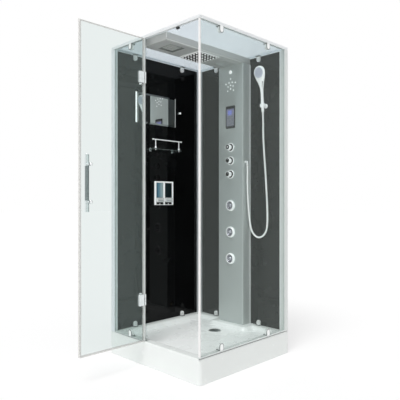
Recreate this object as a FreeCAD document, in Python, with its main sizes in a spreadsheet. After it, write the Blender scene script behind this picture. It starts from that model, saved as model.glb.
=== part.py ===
import FreeCAD, Part
import math
import os
import re
import Sketcher
from FreeCAD import Placement, Rotation, Vector

# Steam shower cabin, modelled in millimetres with +Z up. The origin is the underside of the
# middle foot, at the centre of the floor plan. -Y is the side with the door, +X the side with
# the whole fixed pane, and -X and +Y are the walls of black glass. The door stands open.

# Driving sizes: name, value, what it is
SIZES = [
    ("side", 900, "outer width and depth of the cabin"),
    ("height", 2200, "outer height"),
    ("tray_top", 160, "height of the tray's rim"),
    ("tray_gap", 2, "gap under the tray's skirts"),
    ("skirt", 6, "thickness of the tray's skirts"),
    ("basin_depth", 30, "depth of the basin below the rim"),
    ("basin_floor", 18, "thickness of the basin's floor"),
    ("rim_wide", 58, "width of the tray's rim"),
    ("rim_round", 40, "corner radius of the basin"),
    ("podium_half", 168, "half width of the rim's podium under the column"),
    ("podium_out", 150, "how far the podium stands out from the back"),
    ("tray_round", 18, "radius of the tray's front corner"),
    ("drain_back", 160, "distance of the drain behind the centre"),
    ("drain_hole", 40, "radius of the drain hole"),
    ("trap_wall", 3, "wall of the trap"),
    ("trap_low", 60, "height of the trap's bottom"),
    ("waste_radius", 20, "outer radius of the waste pipe"),
    ("waste_high", 84, "height of the waste pipe's axis"),
    ("waste_short", 10, "how far the waste pipe ends inside the back"),
    ("waste_spigot", 60, "length of the waste pipe's full-width end"),
    ("flange_radius", 50, "radius of the drain's flange"),
    ("flange_thick", 3, "thickness of the drain's flange"),
    ("cover_radius", 44, "radius of the drain cover"),
    ("beam", 40, "width and height of the frame's beams"),
    ("beam_side_in", 150, "distance of a long beam's middle from the tray's side"),
    ("beam_end_in", 50, "distance of a long beam's end from the tray's edge"),
    ("foot_in", 80, "distance of a foot from its beam's end"),
    ("foot_radius", 28, "radius of a foot's pad"),
    ("rail_high", 20, "height of the head rails"),
    ("rail_wide", 22, "width of the head rails"),
    ("roof_thick", 6, "thickness of the roof panel"),
    ("roof_drop", 10, "distance of the roof panel below the rails' top"),
    ("post_wall", 2, "wall of the hollow posts"),
    ("post_deep", 40, "depth of the posts across the wall"),
    ("left_post", 28, "width of the front left post along its wall"),
    ("right_post", 42, "width of the rear right post along its wall"),
    ("corner_post", 52, "side of the rear corner post"),
    ("wall_inset", 20, "distance of the walls' inner faces from the outside"),
    ("wall_glass", 5, "thickness of the wall glass"),
    ("pane_glass", 6, "thickness of the panes and the door"),
    ("pane_inset", 3, "distance of the panes' outer faces from the outside"),
    ("sill_high", 12, "height of the right sill seal"),
    ("front_sill_high", 6, "height of the front sill seal"),
    ("sill_wide", 12, "width of the sill seals"),
    ("seal_wide", 11.5, "side of the corner seal"),
    ("hinge_across", 68, "distance of the hinge axis left of the centre"),
    ("door_reach", 504, "distance from the hinge axis to the door's closing edge"),
    ("door_gap_low", 7, "gap under the door glass"),
    ("door_gap_high", 2, "gap over the door glass"),
    ("edge_seal", 10, "width of the door's magnetic seal"),
    ("hinge_gap", 14, "distance of the door glass from the hinge axis"),
    ("jamb_wide", 22, "width of the seal on the front pane's free edge"),
    ("jamb_clear", 5, "distance of that seal from the hinge axis"),
    ("hinge_high", 75, "height of a hinge"),
    ("hinge_plate", 5, "thickness of a hinge plate"),
    ("hinge_wide", 46, "width of a hinge plate"),
    ("hinge_low_in", 273, "middle of the lower hinge above the door's bottom"),
    ("hinge_high_in", 262, "middle of the upper hinge below the door's top"),
    ("knuckle", 7, "outer radius of a hinge knuckle"),
    ("pin", 2.5, "radius of a hinge pin"),
    ("running", 0.05, "radial clearance of a turning fit"),
    ("apart", 0.5, "clearance between parts that pass each other"),
    ("handle_in", 84, "distance of the handle from the door's closing edge"),
    ("handle_long", 353, "length of the handle bar"),
    ("handle_radius", 13, "radius of the handle bar"),
    ("handle_posts", 229, "distance between the handle's standoffs"),
    ("handle_high", 1205, "height of the handle's middle"),
    ("standoff", 38, "gap between the door glass and the handle's axis"),
    ("standoff_radius", 8, "radius of a standoff"),
    ("clip_wide", 30, "width of a glass clip"),
    ("clip_high", 40, "height of a glass clip"),
    ("clip_deep", 15, "depth of a glass clip"),
    ("clip_apart", 476, "distance between the two clips on each side"),
    ("clip_shift", -17, "distance of the side clips' middle behind the centre"),
    ("rear_clip_apart", 437, "distance between the two clips at the rear"),
    ("rear_clip_shift", -12, "distance of the rear clips' middle right of the centre"),
    ("pane_clip_in", 221, "distance of the front pane's clips from the outside"),
    ("stop_across", 240, "distance of the door stop right of the centre"),
    ("column_half", 124, "half width of the steam column"),
    ("column_out", 92, "how far the column stands out from the wall"),
    ("column_bevel", 2.5, "bevel of the column's front corners"),
    ("column_wall", 3, "wall of the column"),
    ("glass_behind", 10, "how far the wall glass reaches behind the column"),
    ("bridge_half", 120, "half width of the ceiling housing"),
    ("bridge_high", 49, "height of the ceiling housing"),
    ("bridge_in", 30, "distance of its front end from the outside"),
    ("bridge_wall", 3, "wall of the ceiling housing"),
    ("bridge_bevel", 10, "bevel of the ceiling housing's lower edges"),
    ("rain_side", 205, "side of the rain shower plate"),
    ("rain_thick", 8, "thickness of the rain shower plate"),
    ("nozzle_rows", 9, "nozzles along each side of the rain plate"),
    ("nozzle_pitch", 21, "distance between the nozzles"),
    ("lamp_side", 132, "side of the openings for the lamp and the fan"),
    ("lamp_from", 270, "distance of the lamp and the fan from the centre"),
    ("fan_radius", 54, "radius of the fan's blades"),
    ("knob_low", 1301, "height of the lowest knob"),
    ("knob_step", 103.5, "distance between the knobs"),
    ("jet_low", 652, "height of the lowest jet"),
    ("jet_step", 204, "distance between the jets"),
    ("jet_ball", 18.7, "radius of a jet's ball"),
    ("jet_seat", 19, "radius of the seat around the ball"),
    ("stem", 6, "radius of a knob's stem"),
    ("valve", 22, "radius of a valve"),
    ("valve_long", 47, "length of a valve"),
    ("pipe", 7, "radius of the water pipes"),
    ("manifold", 18, "side of the square manifold"),
    ("inlet", 10.48, "radius of the hot and cold inlets"),
    ("inlet_apart", 90, "distance between the hot and cold inlets"),
    ("inlet_high", 1290, "height of the inlets"),
    ("riser_across", 80, "distance of the riser pipe from the centre"),
    ("screen_high", 1740, "height of the control panel's middle"),
    ("bezel_wide", 92, "width of the control panel"),
    ("bezel_tall", 172, "height of the control panel"),
    ("bezel_edge", 8, "width of the control panel's frame"),
    ("speaker_high", 1985, "height of the loudspeaker's middle"),
    ("speaker_outer", 50, "radius of the outer ring of sound holes"),
    ("speaker_inner", 27, "radius of the inner ring of sound holes"),
    ("sound_hole", 4.5, "radius of a sound hole"),
    ("lamp_high", 2086, "height of the column's lamp"),
    ("lamp_radius", 17, "radius of the column's lamp"),
    ("steam_low", 240, "height of the steam generator's bottom"),
    ("steam_gap", 40, "distance of the steam outlet from the wall glass"),
    ("steam_lift", 24, "height of the steam outlet above the tray"),
    ("mirror_wide", 400, "width of the mirror"),
    ("mirror_tall", 231, "height of the mirror"),
    ("mirror_high", 1800, "height of the mirror's middle"),
    ("mirror_along", -48, "distance of the mirror's middle behind the centre"),
    ("mirror_thick", 5, "thickness of the mirror"),
    ("hook_along", 192, "distance of the hook behind the centre"),
    ("hook_high", 1803, "height of the hook"),
    ("shelf_along", -5, "distance of the shelf's middle behind the centre"),
    ("shelf_long", 300, "length of the shelf"),
    ("shelf_deep", 95, "depth of the shelf"),
    ("shelf_thick", 8, "thickness of the shelf"),
    ("shelf_high", 1484, "height of the shelf's underside"),
    ("gallery_radius", 5, "radius of the shelf's rail"),
    ("gallery_high", 68, "height of the rail's axis above the glass"),
    ("gallery_posts", 236, "distance between the rail's posts"),
    ("shelf_clamp", 222, "distance between the shelf's clamps"),
    ("dispenser_along", -12, "distance of the dispenser's middle behind the centre"),
    ("dispenser_wide", 186, "width of the soap dispenser"),
    ("dispenser_tall", 183, "height of the soap dispenser"),
    ("dispenser_deep", 60, "depth of the soap dispenser"),
    ("dispenser_low", 1063, "height of the soap dispenser's bottom"),
    ("pillar", 14, "width of the dispenser's pillars"),
    ("window_tall", 112, "height of the dispenser's windows"),
    ("lever_tall", 36, "height of a push lever"),
    ("lever_out", 8, "how far a lever stands out"),
    ("lever_travel", 8, "how far a lever can be pushed"),
    ("bracket_across", 270, "distance of the handset's bracket right of the centre"),
    ("bracket_high", 1800, "height of the bracket's ring"),
    ("bracket_out", 42, "distance of the ring's centre from the wall"),
    ("bracket_tilt", 4, "tilt of the handset's grip from upright, in degrees"),
    ("ring_bore", 13.2, "radius of the bracket ring's bore"),
    ("ring_outer", 21, "outer radius of the bracket's ring"),
    ("handle_foot", 11.5, "radius of the handset's grip at its foot"),
    ("grip_long", 205, "length of the handset's grip above the ring"),
    ("head_radius", 48, "radius of the handset's head"),
    ("head_at", 238, "distance of the head's middle above the ring"),
    ("head_out", 20, "distance of the head's middle in front of the grip's axis"),
    ("head_lean", 10, "tilt of the spray face from upright, in degrees"),
    ("neck_at", 100, "distance of the neck's foot above the ring"),
    ("outlet_out", 19, "distance of the hose outlet's axis from the column"),
    ("outlet_high", 1390, "height of the hose outlet"),
    ("outlet_drop", 28, "length of the hose outlet below its axis"),
    ("hose_radius", 7, "radius of the shower hose"),
]

# Places worked out from the sizes; a place may use the places above it
PLACES = [
    ("outer", "side / 2"),
    ("wall", "outer - wall_inset"),
    ("pane_out", "outer - pane_inset"),
    ("pane_in", "pane_out - pane_glass"),
    ("rail_low", "height - rail_high"),
    ("roof_top", "height - roof_drop"),
    ("roof_low", "roof_top - roof_thick"),
    ("bridge_low", "roof_low - bridge_high"),
    ("basin_top", "tray_top - basin_depth"),
    ("basin_low", "basin_top - basin_floor"),
    ("beam_low", "basin_low - beam"),
    ("beam_apart", "side - 2 * beam_side_in"),
    ("beam_long", "side - 2 * beam_end_in"),
    ("foot_apart", "beam_long - 2 * foot_in"),
    ("front_face", "wall - column_out"),
    ("hinge_x", "-hinge_across"),
    ("hinge_y", "-(pane_out + pane_in) / 2"),
    ("door_low", "tray_top + door_gap_low"),
    ("door_high", "rail_low - door_gap_high"),
    ("hinge_low", "door_low + hinge_low_in"),
    ("hinge_up", "door_high - hinge_high_in"),
    ("front_pane_end", "hinge_x - jamb_clear - jamb_wide"),
    ("right_pane_start", "-outer + 1.5 + seal_wide"),
    ("glass_edge", "column_half - glass_behind"),
    ("cup_y", "wall - bracket_out"),
    ("outlet_along", "wall - 62"),
]

VALUE = {name: value for name, value, note in SIZES}
PLACE = dict(PLACES)

doc = FreeCAD.newDocument("steam_shower_cabin")
sheet = doc.addObject("Spreadsheet::Sheet", "Sizes")
for row, (name, value, note) in enumerate(SIZES, start=1):
    sheet.set(f"A{row}", name)
    sheet.set(f"B{row}", str(value))
    sheet.setAlias(f"B{row}", name)
    sheet.set(f"C{row}", note)
doc.recompute()

nodes = {}                               # node name -> object, in the order of building


# ---------------------------------------------------------------- expressions and helpers

def formula(text):
    """Turn the plain names in a text into references to the sheet."""
    def swap(match):
        word = match.group()
        if word in PLACE:
            return "(" + formula(PLACE[word]) + ")"
        return "Sizes." + word if word in VALUE else word
    return re.sub(r"[a-z][a-z_]*", swap, str(text))


def number(text):
    """The value of a formula as it stands now."""
    return float(sheet.evalExpression(formula(text)))


def bind(thing, **sizes):
    for prop, text in sizes.items():
        thing.setExpression(prop, formula(text))
    return thing


def place(thing, at=(0, 0, 0), axis=(0, 0, 1), degrees=0):
    """Turn a thing about an axis and bind its position."""
    thing.Placement = Placement(Vector(), Rotation(Vector(*axis), number(degrees)))
    for letter, text in zip("xyz", at):
        thing.setExpression("Placement.Base." + letter, formula(text))
    return thing


def keep(name, thing):
    """Make a thing a sub-part with its own name."""
    thing.Label = name
    nodes[name] = thing
    return thing


def block(x, y, z):
    """A box between two limits along each axis."""
    box = doc.addObject("Part::Box", "block")
    bind(box, Length=f"({x[1]}) - ({x[0]})", Width=f"({y[1]}) - ({y[0]})",
         Height=f"({z[1]}) - ({z[0]})")
    return place(box, (x[0], y[0], z[0]))


def rod(axis, radius, span, centre):
    """A cylinder along x, y or z between two limits; centre holds the other two coordinates."""
    bar = doc.addObject("Part::Cylinder", "rod")
    bind(bar, Radius=radius, Height=f"({span[1]}) - ({span[0]})")
    if axis == "x":
        return place(bar, (span[0], *centre), (0, 1, 0), 90)
    if axis == "y":
        return place(bar, (centre[0], span[0], centre[1]), (1, 0, 0), -90)
    return place(bar, (*centre, span[0]))


def ball(radius, at):
    return place(bind(doc.addObject("Part::Sphere", "ball"), Radius=radius), at)


def fuse(*parts):
    joined = doc.addObject("Part::MultiFuse", "fuse")
    joined.Shapes = list(parts)
    return joined


def cut(base, *tools):
    tool = tools[0] if len(tools) == 1 else group(*tools)
    result = doc.addObject("Part::Cut", "cut")
    result.Base = base
    result.Tool = tool
    return result


def group(*parts):
    """Several separate solids in one object."""
    bunch = doc.addObject("Part::Compound", "group")
    bunch.Links = list(parts)
    return bunch


def sketch_on(body, role, offset="0"):
    """A sketch on one of a body's own origin planes, moved along the plane's normal."""
    plane = [item for item in body.Origin.OriginFeatures if item.Role == role][0]
    sketch = body.newObject("Sketcher::SketchObject", "sketch")
    sketch.AttachmentSupport = (plane, [""])
    sketch.MapMode = "FlatFace"
    sketch.setExpression("AttachmentOffset.Base.z", formula(offset))
    return sketch


def outline(sketch, points):
    """A closed run of lines whose corners are all dimensioned from the origin."""
    corners = [Vector(number(across), number(along), 0) for across, along in points]
    count = len(corners)
    for index in range(count):
        sketch.addGeometry(Part.LineSegment(corners[index], corners[(index + 1) % count]), False)
    for index in range(count):
        sketch.addConstraint(Sketcher.Constraint("Coincident", index, 2, (index + 1) % count, 1))
    for index, (across, along) in enumerate(points):
        for kind, text, size in (("DistanceX", across, corners[index].x),
                                 ("DistanceY", along, corners[index].y)):
            rule = sketch.addConstraint(Sketcher.Constraint(kind, -1, 1, index, 1, size))
            sketch.setExpression(f"Constraints[{rule}]", formula(text))
    return sketch


def circle(sketch, radius, across, along):
    """A dimensioned circle."""
    centre = Vector(number(across), number(along), 0)
    curve = sketch.addGeometry(Part.Circle(centre, Vector(0, 0, 1), number(radius)), False)
    for kind, text, size in (("DistanceX", across, centre.x), ("DistanceY", along, centre.y)):
        rule = sketch.addConstraint(Sketcher.Constraint(kind, -1, 1, curve, 3, size))
        sketch.setExpression(f"Constraints[{rule}]", formula(text))
    rule = sketch.addConstraint(Sketcher.Constraint("Radius", curve, number(radius)))
    sketch.setExpression(f"Constraints[{rule}]", formula(radius))
    return sketch


def extrusion(points, low, high, role="XY_Plane"):
    """An outline padded between two heights, or with the XZ plane between two places along Y."""
    body = doc.addObject("PartDesign::Body", "body")
    sketch = outline(sketch_on(body, role), points)
    pad = body.newObject("PartDesign::Pad", "pad")
    pad.Profile = sketch
    bind(pad, Length=f"({high}) - ({low})")
    return place(body, (0, 0, low) if role == "XY_Plane" else (0, high, 0))


def turned(points, at=(0, 0, 0), axis=(0, 0, 1), degrees=0):
    """A profile of radius and height, revolved about its own upright axis, then placed."""
    body = doc.addObject("PartDesign::Body", "body")
    sketch = outline(sketch_on(body, "XZ_Plane"), points)
    turn = body.newObject("PartDesign::Revolution", "turn")
    turn.Profile = sketch
    turn.ReferenceAxis = (sketch, ["V_Axis"])
    turn.Angle = 360
    return place(body, at, axis, degrees)


OUT = dict(axis=(1, 0, 0), degrees=90)   # turns a revolved part's top towards -Y, into the room


def on_column(points, high, across="0"):
    """A revolved part that stands out of the column's front face."""
    return turned(points, (across, "front_face", high), **OUT)


def upright_edges(shape, low, high, wanted):
    """Names of the upright edges between two heights whose place passes a test."""
    found = []
    for index, edge in enumerate(shape.Edges, start=1):
        box = edge.BoundBox
        upright = box.XLength < 0.01 and box.YLength < 0.01
        if upright and abs(box.ZMin - low) < 0.1 and abs(box.ZMax - high) < 0.1:
            if wanted(box.Center):
                found.append(f"Edge{index}")
    return found


# ---------------------------------------------------------------- tray, frame and drain

def make_tray():
    """The tray: a rim and a shallow basin, hollow below, with skirts on the two open sides."""
    body = doc.addObject("PartDesign::Body", "tray")
    square = [("-outer", "-outer"), ("outer", "-outer"), ("outer", "outer"), ("-outer", "outer")]
    pad = body.newObject("PartDesign::Pad", "slab")
    pad.Profile = outline(sketch_on(body, "XY_Plane", "tray_gap"), square)
    bind(pad, Length="tray_top - tray_gap")

    inner = "outer - rim_wide"
    shelf = "outer - podium_out"
    ring = [(f"-({inner})", f"-({inner})"), (inner, f"-({inner})"), (inner, inner),
            ("podium_half", inner), ("podium_half", shelf), ("-podium_half", shelf),
            ("-podium_half", inner), (f"-({inner})", inner)]
    basin = body.newObject("PartDesign::Pocket", "basin")
    basin.Profile = outline(sketch_on(body, "XY_Plane", "tray_top"), ring)
    bind(basin, Length="basin_depth")

    hollow = body.newObject("PartDesign::Pocket", "hollow")
    under = [("-outer - 1", "-outer + skirt"), ("outer - skirt", "-outer + skirt"),
             ("outer - skirt", "outer + 1"), ("-outer - 1", "outer + 1")]
    hollow.Profile = outline(sketch_on(body, "XY_Plane", "tray_gap"), under)
    hollow.Reversed = True
    bind(hollow, Length="basin_low - tray_gap")

    drain = body.newObject("PartDesign::Pocket", "drain")
    drain.Profile = circle(sketch_on(body, "XY_Plane", "tray_top"), "drain_hole", "0",
                           "drain_back")
    bind(drain, Length="basin_depth + basin_floor + 1")
    doc.recompute()

    reach = number(inner) + 1
    round_basin = body.newObject("PartDesign::Fillet", "round_basin")
    inside = upright_edges(drain.Shape, number("basin_top"), number("tray_top"),
                           lambda spot: max(abs(spot.x), abs(spot.y)) < reach)
    round_basin.Base = (drain, inside)
    bind(round_basin, Radius="min(rim_round; (podium_out - rim_wide) / 2 - 1)")
    doc.recompute()

    round_corner = body.newObject("PartDesign::Fillet", "round_corner")
    corner = upright_edges(round_basin.Shape, number("tray_gap"), number("tray_top"),
                           lambda spot: spot.x > reach and spot.y < -reach)
    round_corner.Base = (round_basin, corner)
    bind(round_corner, Radius="tray_round")
    doc.recompute()
    keep("shower_tray", body)


def make_frame():
    """Two long beams with a cross beam between them, on five threaded feet."""
    half = "beam_apart / 2"
    tall = ("beam_low", "basin_low")
    beams = [block((f"{sign} * {half} - beam / 2", f"{sign} * {half} + beam / 2"),
                   ("-beam_long / 2", "beam_long / 2"), tall) for sign in (-1, 1)]
    cross = block((f"-{half} + beam / 2", f"{half} - beam / 2"), ("-beam / 2", "beam / 2"), tall)
    keep("base_frame", group(*beams, cross))

    profile = [("0", "0"), ("foot_radius", "0"), ("foot_radius", "8"), ("foot_radius - 8", "12"),
               ("9", "12"), ("9", "20"), ("6", "20"), ("6", "beam_low"), ("0", "beam_low")]
    spots = [("0", "0")] + [(f"{a} * {half}", f"{b} * foot_apart / 2")
                            for a in (-1, 1) for b in (-1, 1)]
    keep("levelling_feet", group(*[turned(profile, (*spot, 0)) for spot in spots]))


def make_drain():
    """The flanged trap under the floor with its waste pipe, and the cover that lifts out."""
    bore = "drain_hole - apart - trap_wall"
    cup = rod("z", "drain_hole - apart", ("trap_low", "basin_top"), ("0", "drain_back"))
    well = rod("z", bore, ("trap_low + trap_wall", "basin_top + 1"), ("0", "drain_back"))
    end, axis = "outer - waste_short", ("0", "waste_high")
    pipe = rod("y", "waste_radius - 1.5", ("drain_back", f"{end} - waste_spigot + 1"), axis)
    spigot = rod("y", "waste_radius", (f"{end} - waste_spigot", end), axis)
    flow = rod("y", "waste_radius - 4", (f"drain_back + {bore} - 2", "outer"), axis)
    top = "basin_top + flange_thick"
    spot = ("0", "drain_back", "0")
    flange = turned([(bore, "basin_top"), ("flange_radius", "basin_top"),
                     ("flange_radius", f"{top} - 1"), ("flange_radius - 2", top), (bore, top)],
                    spot)
    keep("drain_trap", cut(fuse(cup, pipe, spigot, flange), well, flow))
    skirt = f"{bore} - apart"
    keep("drain_cover", turned([("0", f"{top} + 0.3"), (f"{skirt} - 2", f"{top} + 0.3"),
                                (f"{skirt} - 2", f"{top} - 12"), (skirt, f"{top} - 12"),
                                (skirt, f"{top} + 0.3"), ("cover_radius", f"{top} + 0.3"),
                                ("cover_radius - 1", f"{top} + 3"), ("0", f"{top} + 4")], spot))


# ---------------------------------------------------------------- posts, rails, roof and glass

def hollow_post(x, y, z):
    """A square tube between limits, open at both ends."""
    outside = block(x, y, z)
    inside = block((f"{x[0]} + post_wall", f"{x[1]} - post_wall"),
                   (f"{y[0]} + post_wall", f"{y[1]} - post_wall"), (f"{z[0]} - 1", f"{z[1]} + 1"))
    return cut(outside, inside)


def make_shell():
    """Posts at three corners, four head rails and the roof between them."""
    tall = ("tray_top", "rail_low")
    keep("left_front_post", hollow_post(("-outer", "-outer + post_deep"),
                                        ("-outer", "-outer + left_post"), tall))
    keep("rear_corner_post", hollow_post(("-outer", "-outer + corner_post"),
                                         ("outer - corner_post", "outer"), tall))
    keep("right_rear_post", hollow_post(("outer - right_post", "outer"),
                                        ("outer - post_deep", "outer"), tall))
    inside = "outer - rail_wide"
    top = ("rail_low", "height")
    keep("head_rails", group(
        block(("-outer", "outer"), ("-outer", f"-({inside})"), top),
        block(("-outer", "outer"), (inside, "outer"), top),
        block(("-outer", f"-({inside})"), (f"-({inside})", inside), top),
        block((inside, "outer"), (f"-({inside})", inside), top)))
    span = (f"-({inside})", inside)
    keep("roof_panel", block(span, span, ("roof_low", "roof_top")))


def make_glass():
    """The black wall glass and the two fixed panes on their sills."""
    tall = ("tray_top", "rail_low")
    behind = ("wall", "wall + wall_glass")
    keep("left_wall_glass", block(("-wall - wall_glass", "-wall"),
                                  ("-outer + left_post", "outer - corner_post"), tall))
    keep("rear_wall_glass", group(
        block(("-outer + corner_post", "-glass_edge"), behind, tall),
        block(("glass_edge", "outer - right_post"), behind, tall)))
    keep("front_fixed_pane", block(("-outer + post_deep", "front_pane_end"),
                                   ("-pane_out", "-pane_in"),
                                   ("tray_top + front_sill_high", "rail_low")))
    keep("right_fixed_pane", block(("pane_in", "pane_out"),
                                   ("right_pane_start", "outer - post_deep"),
                                   ("tray_top + sill_high", "rail_low")))
    keep("pane_sills", group(
        block(("-outer + post_deep", "front_pane_end"), ("-outer", "-outer + sill_wide"),
              ("tray_top", "tray_top + front_sill_high")),
        block(("outer - sill_wide", "outer"), ("-outer", "outer - post_deep"),
              ("tray_top", "tray_top + sill_high"))))


def between_hinges():
    """The three upright stretches that the hinges leave free: low and high limits."""
    half = "hinge_high / 2 + apart"
    return [("door_low", f"hinge_low - ({half})"),
            (f"hinge_low + {half}", f"hinge_up - ({half})"),
            (f"hinge_up + {half}", "door_high")]


def make_pane_seals():
    """Clear seals: a square one at the corner, and one on the front pane's free edge with a lip."""
    edge = "outer - 1.5"
    corner = block((f"{edge} - seal_wide", edge), (f"-({edge})", "right_pane_start"),
                   ("tray_top + sill_high", "door_high"))
    start = "front_pane_end"
    end = "hinge_x - jamb_clear"
    lip = "hinge_x + jamb_clear + 7"
    inner = "-pane_in + 1.5"
    points = [(start, "-pane_out - 2"), (end, "-pane_out - 2"), (end, inner), (lip, inner),
              (lip, f"{inner} + 2.5"), (start, f"{inner} + 2.5")]
    jambs = [extrusion(points, low, high) for low, high in between_hinges()]
    keep("pane_seals", group(corner, *jambs))


def arch(x, y, edge, up, through):
    """A clip standing on or hanging from an edge, with a half round end; up is 1 or -1."""
    bend = f"{edge} + {up} * (clip_high - clip_wide / 2)"
    tall = (edge, bend) if up > 0 else (bend, edge)
    if through == "x":
        disc = rod("x", "clip_wide / 2", x, (f"(({y[0]}) + ({y[1]})) / 2", bend))
    else:
        disc = rod("y", "clip_wide / 2", y, (f"(({x[0]}) + ({x[1]})) / 2", bend))
    return fuse(block(x, y, tall), disc)


def make_clips():
    """Clips that hold the glass at its top and bottom edges, and the stop for the door."""
    half = "clip_wide / 2"
    clips = []
    for sign in (-1, 1):
        along = f"clip_shift + {sign} * clip_apart / 2"
        across = f"rear_clip_shift + {sign} * rear_clip_apart / 2"
        span = (f"{along} - {half}", f"{along} + {half}")
        rear = (f"{across} - {half}", f"{across} + {half}")
        for edge, lift, up in (("tray_top", "sill_high", 1), ("rail_low", "0", -1)):
            raised = f"{edge} + {lift}"
            clips.append(arch(("-wall", "-wall + clip_deep"), span, edge, up, "x"))
            clips.append(arch(rear, ("wall - clip_deep", "wall"), edge, up, "y"))
            clips.append(arch(("pane_in - clip_deep", "pane_in"), span, raised, up, "x"))
            clips.append(arch(("pane_out", "outer"), span, raised, up, "x"))
    along = "-outer + pane_clip_in"
    span = (f"{along} - {half}", f"{along} + {half}")
    for edge, up in (("tray_top + front_sill_high", 1), ("rail_low", -1)):
        clips.append(arch(span, ("-pane_in", "-pane_in + clip_deep"), edge, up, "y"))
        clips.append(arch(span, ("-outer", "-pane_out"), edge, up, "y"))
    keep("glass_clips", group(*clips))
    keep("door_stop", block(("stop_across - 12", "stop_across + 12"),
                            ("-pane_in + 3", "-pane_in + 17"), ("rail_low - 12", "rail_low")))


# ---------------------------------------------------------------- door

def from_axis(reach):
    """The place along Y of a distance from the hinge axis on the open door."""
    return f"hinge_y - ({reach})"


def make_door():
    """The glass door, standing open at a right angle, with its seals and handle."""
    half = "pane_glass / 2"
    tall = ("door_low", "door_high")
    glass_end = "door_reach - edge_seal"
    keep("door_glass", block((f"hinge_x - {half}", f"hinge_x + {half}"),
                             (from_axis(glass_end), from_axis("hinge_gap")), tall))
    magnet = block(("hinge_x - 5", "hinge_x + 5"),
                   (from_axis("door_reach"), from_axis(glass_end)), tall)
    sweep = block((f"hinge_x - {half}", f"hinge_x + {half}"),
                  (from_axis(glass_end), from_axis("hinge_gap")), ("door_low - 5.5", "door_low"))
    strips = [block((f"hinge_x - {half} - apart", f"hinge_x + {half} + apart"),
                    (from_axis("hinge_gap"), from_axis("4")), span) for span in between_hinges()]
    keep("door_seals", group(magnet, sweep, *strips))

    grip = from_axis("door_reach - handle_in")
    outside = f"hinge_x - {half} - standoff"
    ends = (f"handle_high - handle_long / 2", f"handle_high + handle_long / 2")
    pieces = [rod("z", "handle_radius", ends, (outside, grip))]
    for sign in (-1, 1):
        high = f"handle_high + {sign} * handle_posts / 2"
        pieces.append(rod("x", "standoff_radius", (outside, f"hinge_x - {half}"), (grip, high)))
    caps = [rod("x", "standoff_radius + 2", (f"hinge_x + {half}", f"hinge_x + {half} + 9"),
                (grip, f"handle_high + {sign} * handle_posts / 2")) for sign in (-1, 1)]
    keep("door_handle", group(fuse(*pieces), *caps))


def make_hinges():
    """Two hinges: leaves that clamp the front pane and the door, and pins fast in the first."""
    half = "pane_glass / 2"
    skin = f"{half} + hinge_plate"
    gap = "knuckle + 1.5"
    third = "hinge_high / 6"
    centre = ("hinge_x", "hinge_y")
    fixed, moving = [], []
    for middle in ("hinge_low", "hinge_up"):
        tall = (f"{middle} - hinge_high / 2", f"{middle} + hinge_high / 2")
        core = (f"{middle} - {third} + apart", f"{middle} + {third} - apart")
        ends = [(tall[0], f"{middle} - {third}"), (f"{middle} + {third}", tall[1])]

        web = f"hinge_x - ({gap})"
        sides = [(f"hinge_y - ({skin})", f"hinge_y - {half}"),
                 (f"hinge_y + {half}", f"hinge_y + {skin}")]
        parts = [block((f"{web} - hinge_wide", web), side, tall) for side in sides]
        parts.append(block(("front_pane_end", web), (sides[0][0], sides[1][1]), tall))
        parts.append(block((f"{web} - 1", "hinge_x"), ("hinge_y - 5", "hinge_y + 5"), core))
        parts.append(rod("z", "knuckle", core, centre))
        parts.append(rod("z", "pin", tall, centre))
        fixed.append(fuse(*parts))

        start = from_axis(gap)
        sides = [(f"hinge_x - ({skin})", f"hinge_x - {half}"),
                 (f"hinge_x + {half}", f"hinge_x + {skin}")]
        parts = [block(side, (f"{start} - hinge_wide", start), tall) for side in sides]
        parts.append(block((sides[0][0], sides[1][1]), (from_axis("hinge_gap"), start), tall))
        for end in ends:
            parts.append(block(("hinge_x - 5", "hinge_x + 5"), (f"{start} - 1", "hinge_y"), end))
            parts.append(rod("z", "knuckle", end, centre))
        bore = rod("z", "pin + running", (f"{tall[0]} - 1", f"{tall[1]} + 1"), centre)
        moving.append(cut(fuse(*parts), bore))
    keep("hinge_pane_leaves", group(*fixed))
    keep("hinge_door_leaves", group(*moving))


# ---------------------------------------------------------------- column and ceiling housing

def ring_of_holes(count, radius, start):
    """Sound holes spaced evenly around the loudspeaker's middle."""
    holes = []
    for index in range(count):
        angle = math.radians(start + 360 * index / count)
        across = f"{radius} * {math.cos(angle):.6f}"
        high = f"speaker_high + {radius} * {math.sin(angle):.6f}"
        holes.append(through_front("sound_hole", high, across))
    return holes


def through_front(radius, high, across="0"):
    """A round cutter through the column's front wall."""
    return rod("y", radius, ("front_face - 1", "front_face + column_wall + 1"), (across, high))


def knob_heights():
    return ["knob_low", "knob_low + knob_step", "knob_low + 2 * knob_step"]


def jet_heights():
    return ["jet_low", "jet_low + jet_step", "jet_low + 2 * jet_step"]


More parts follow.
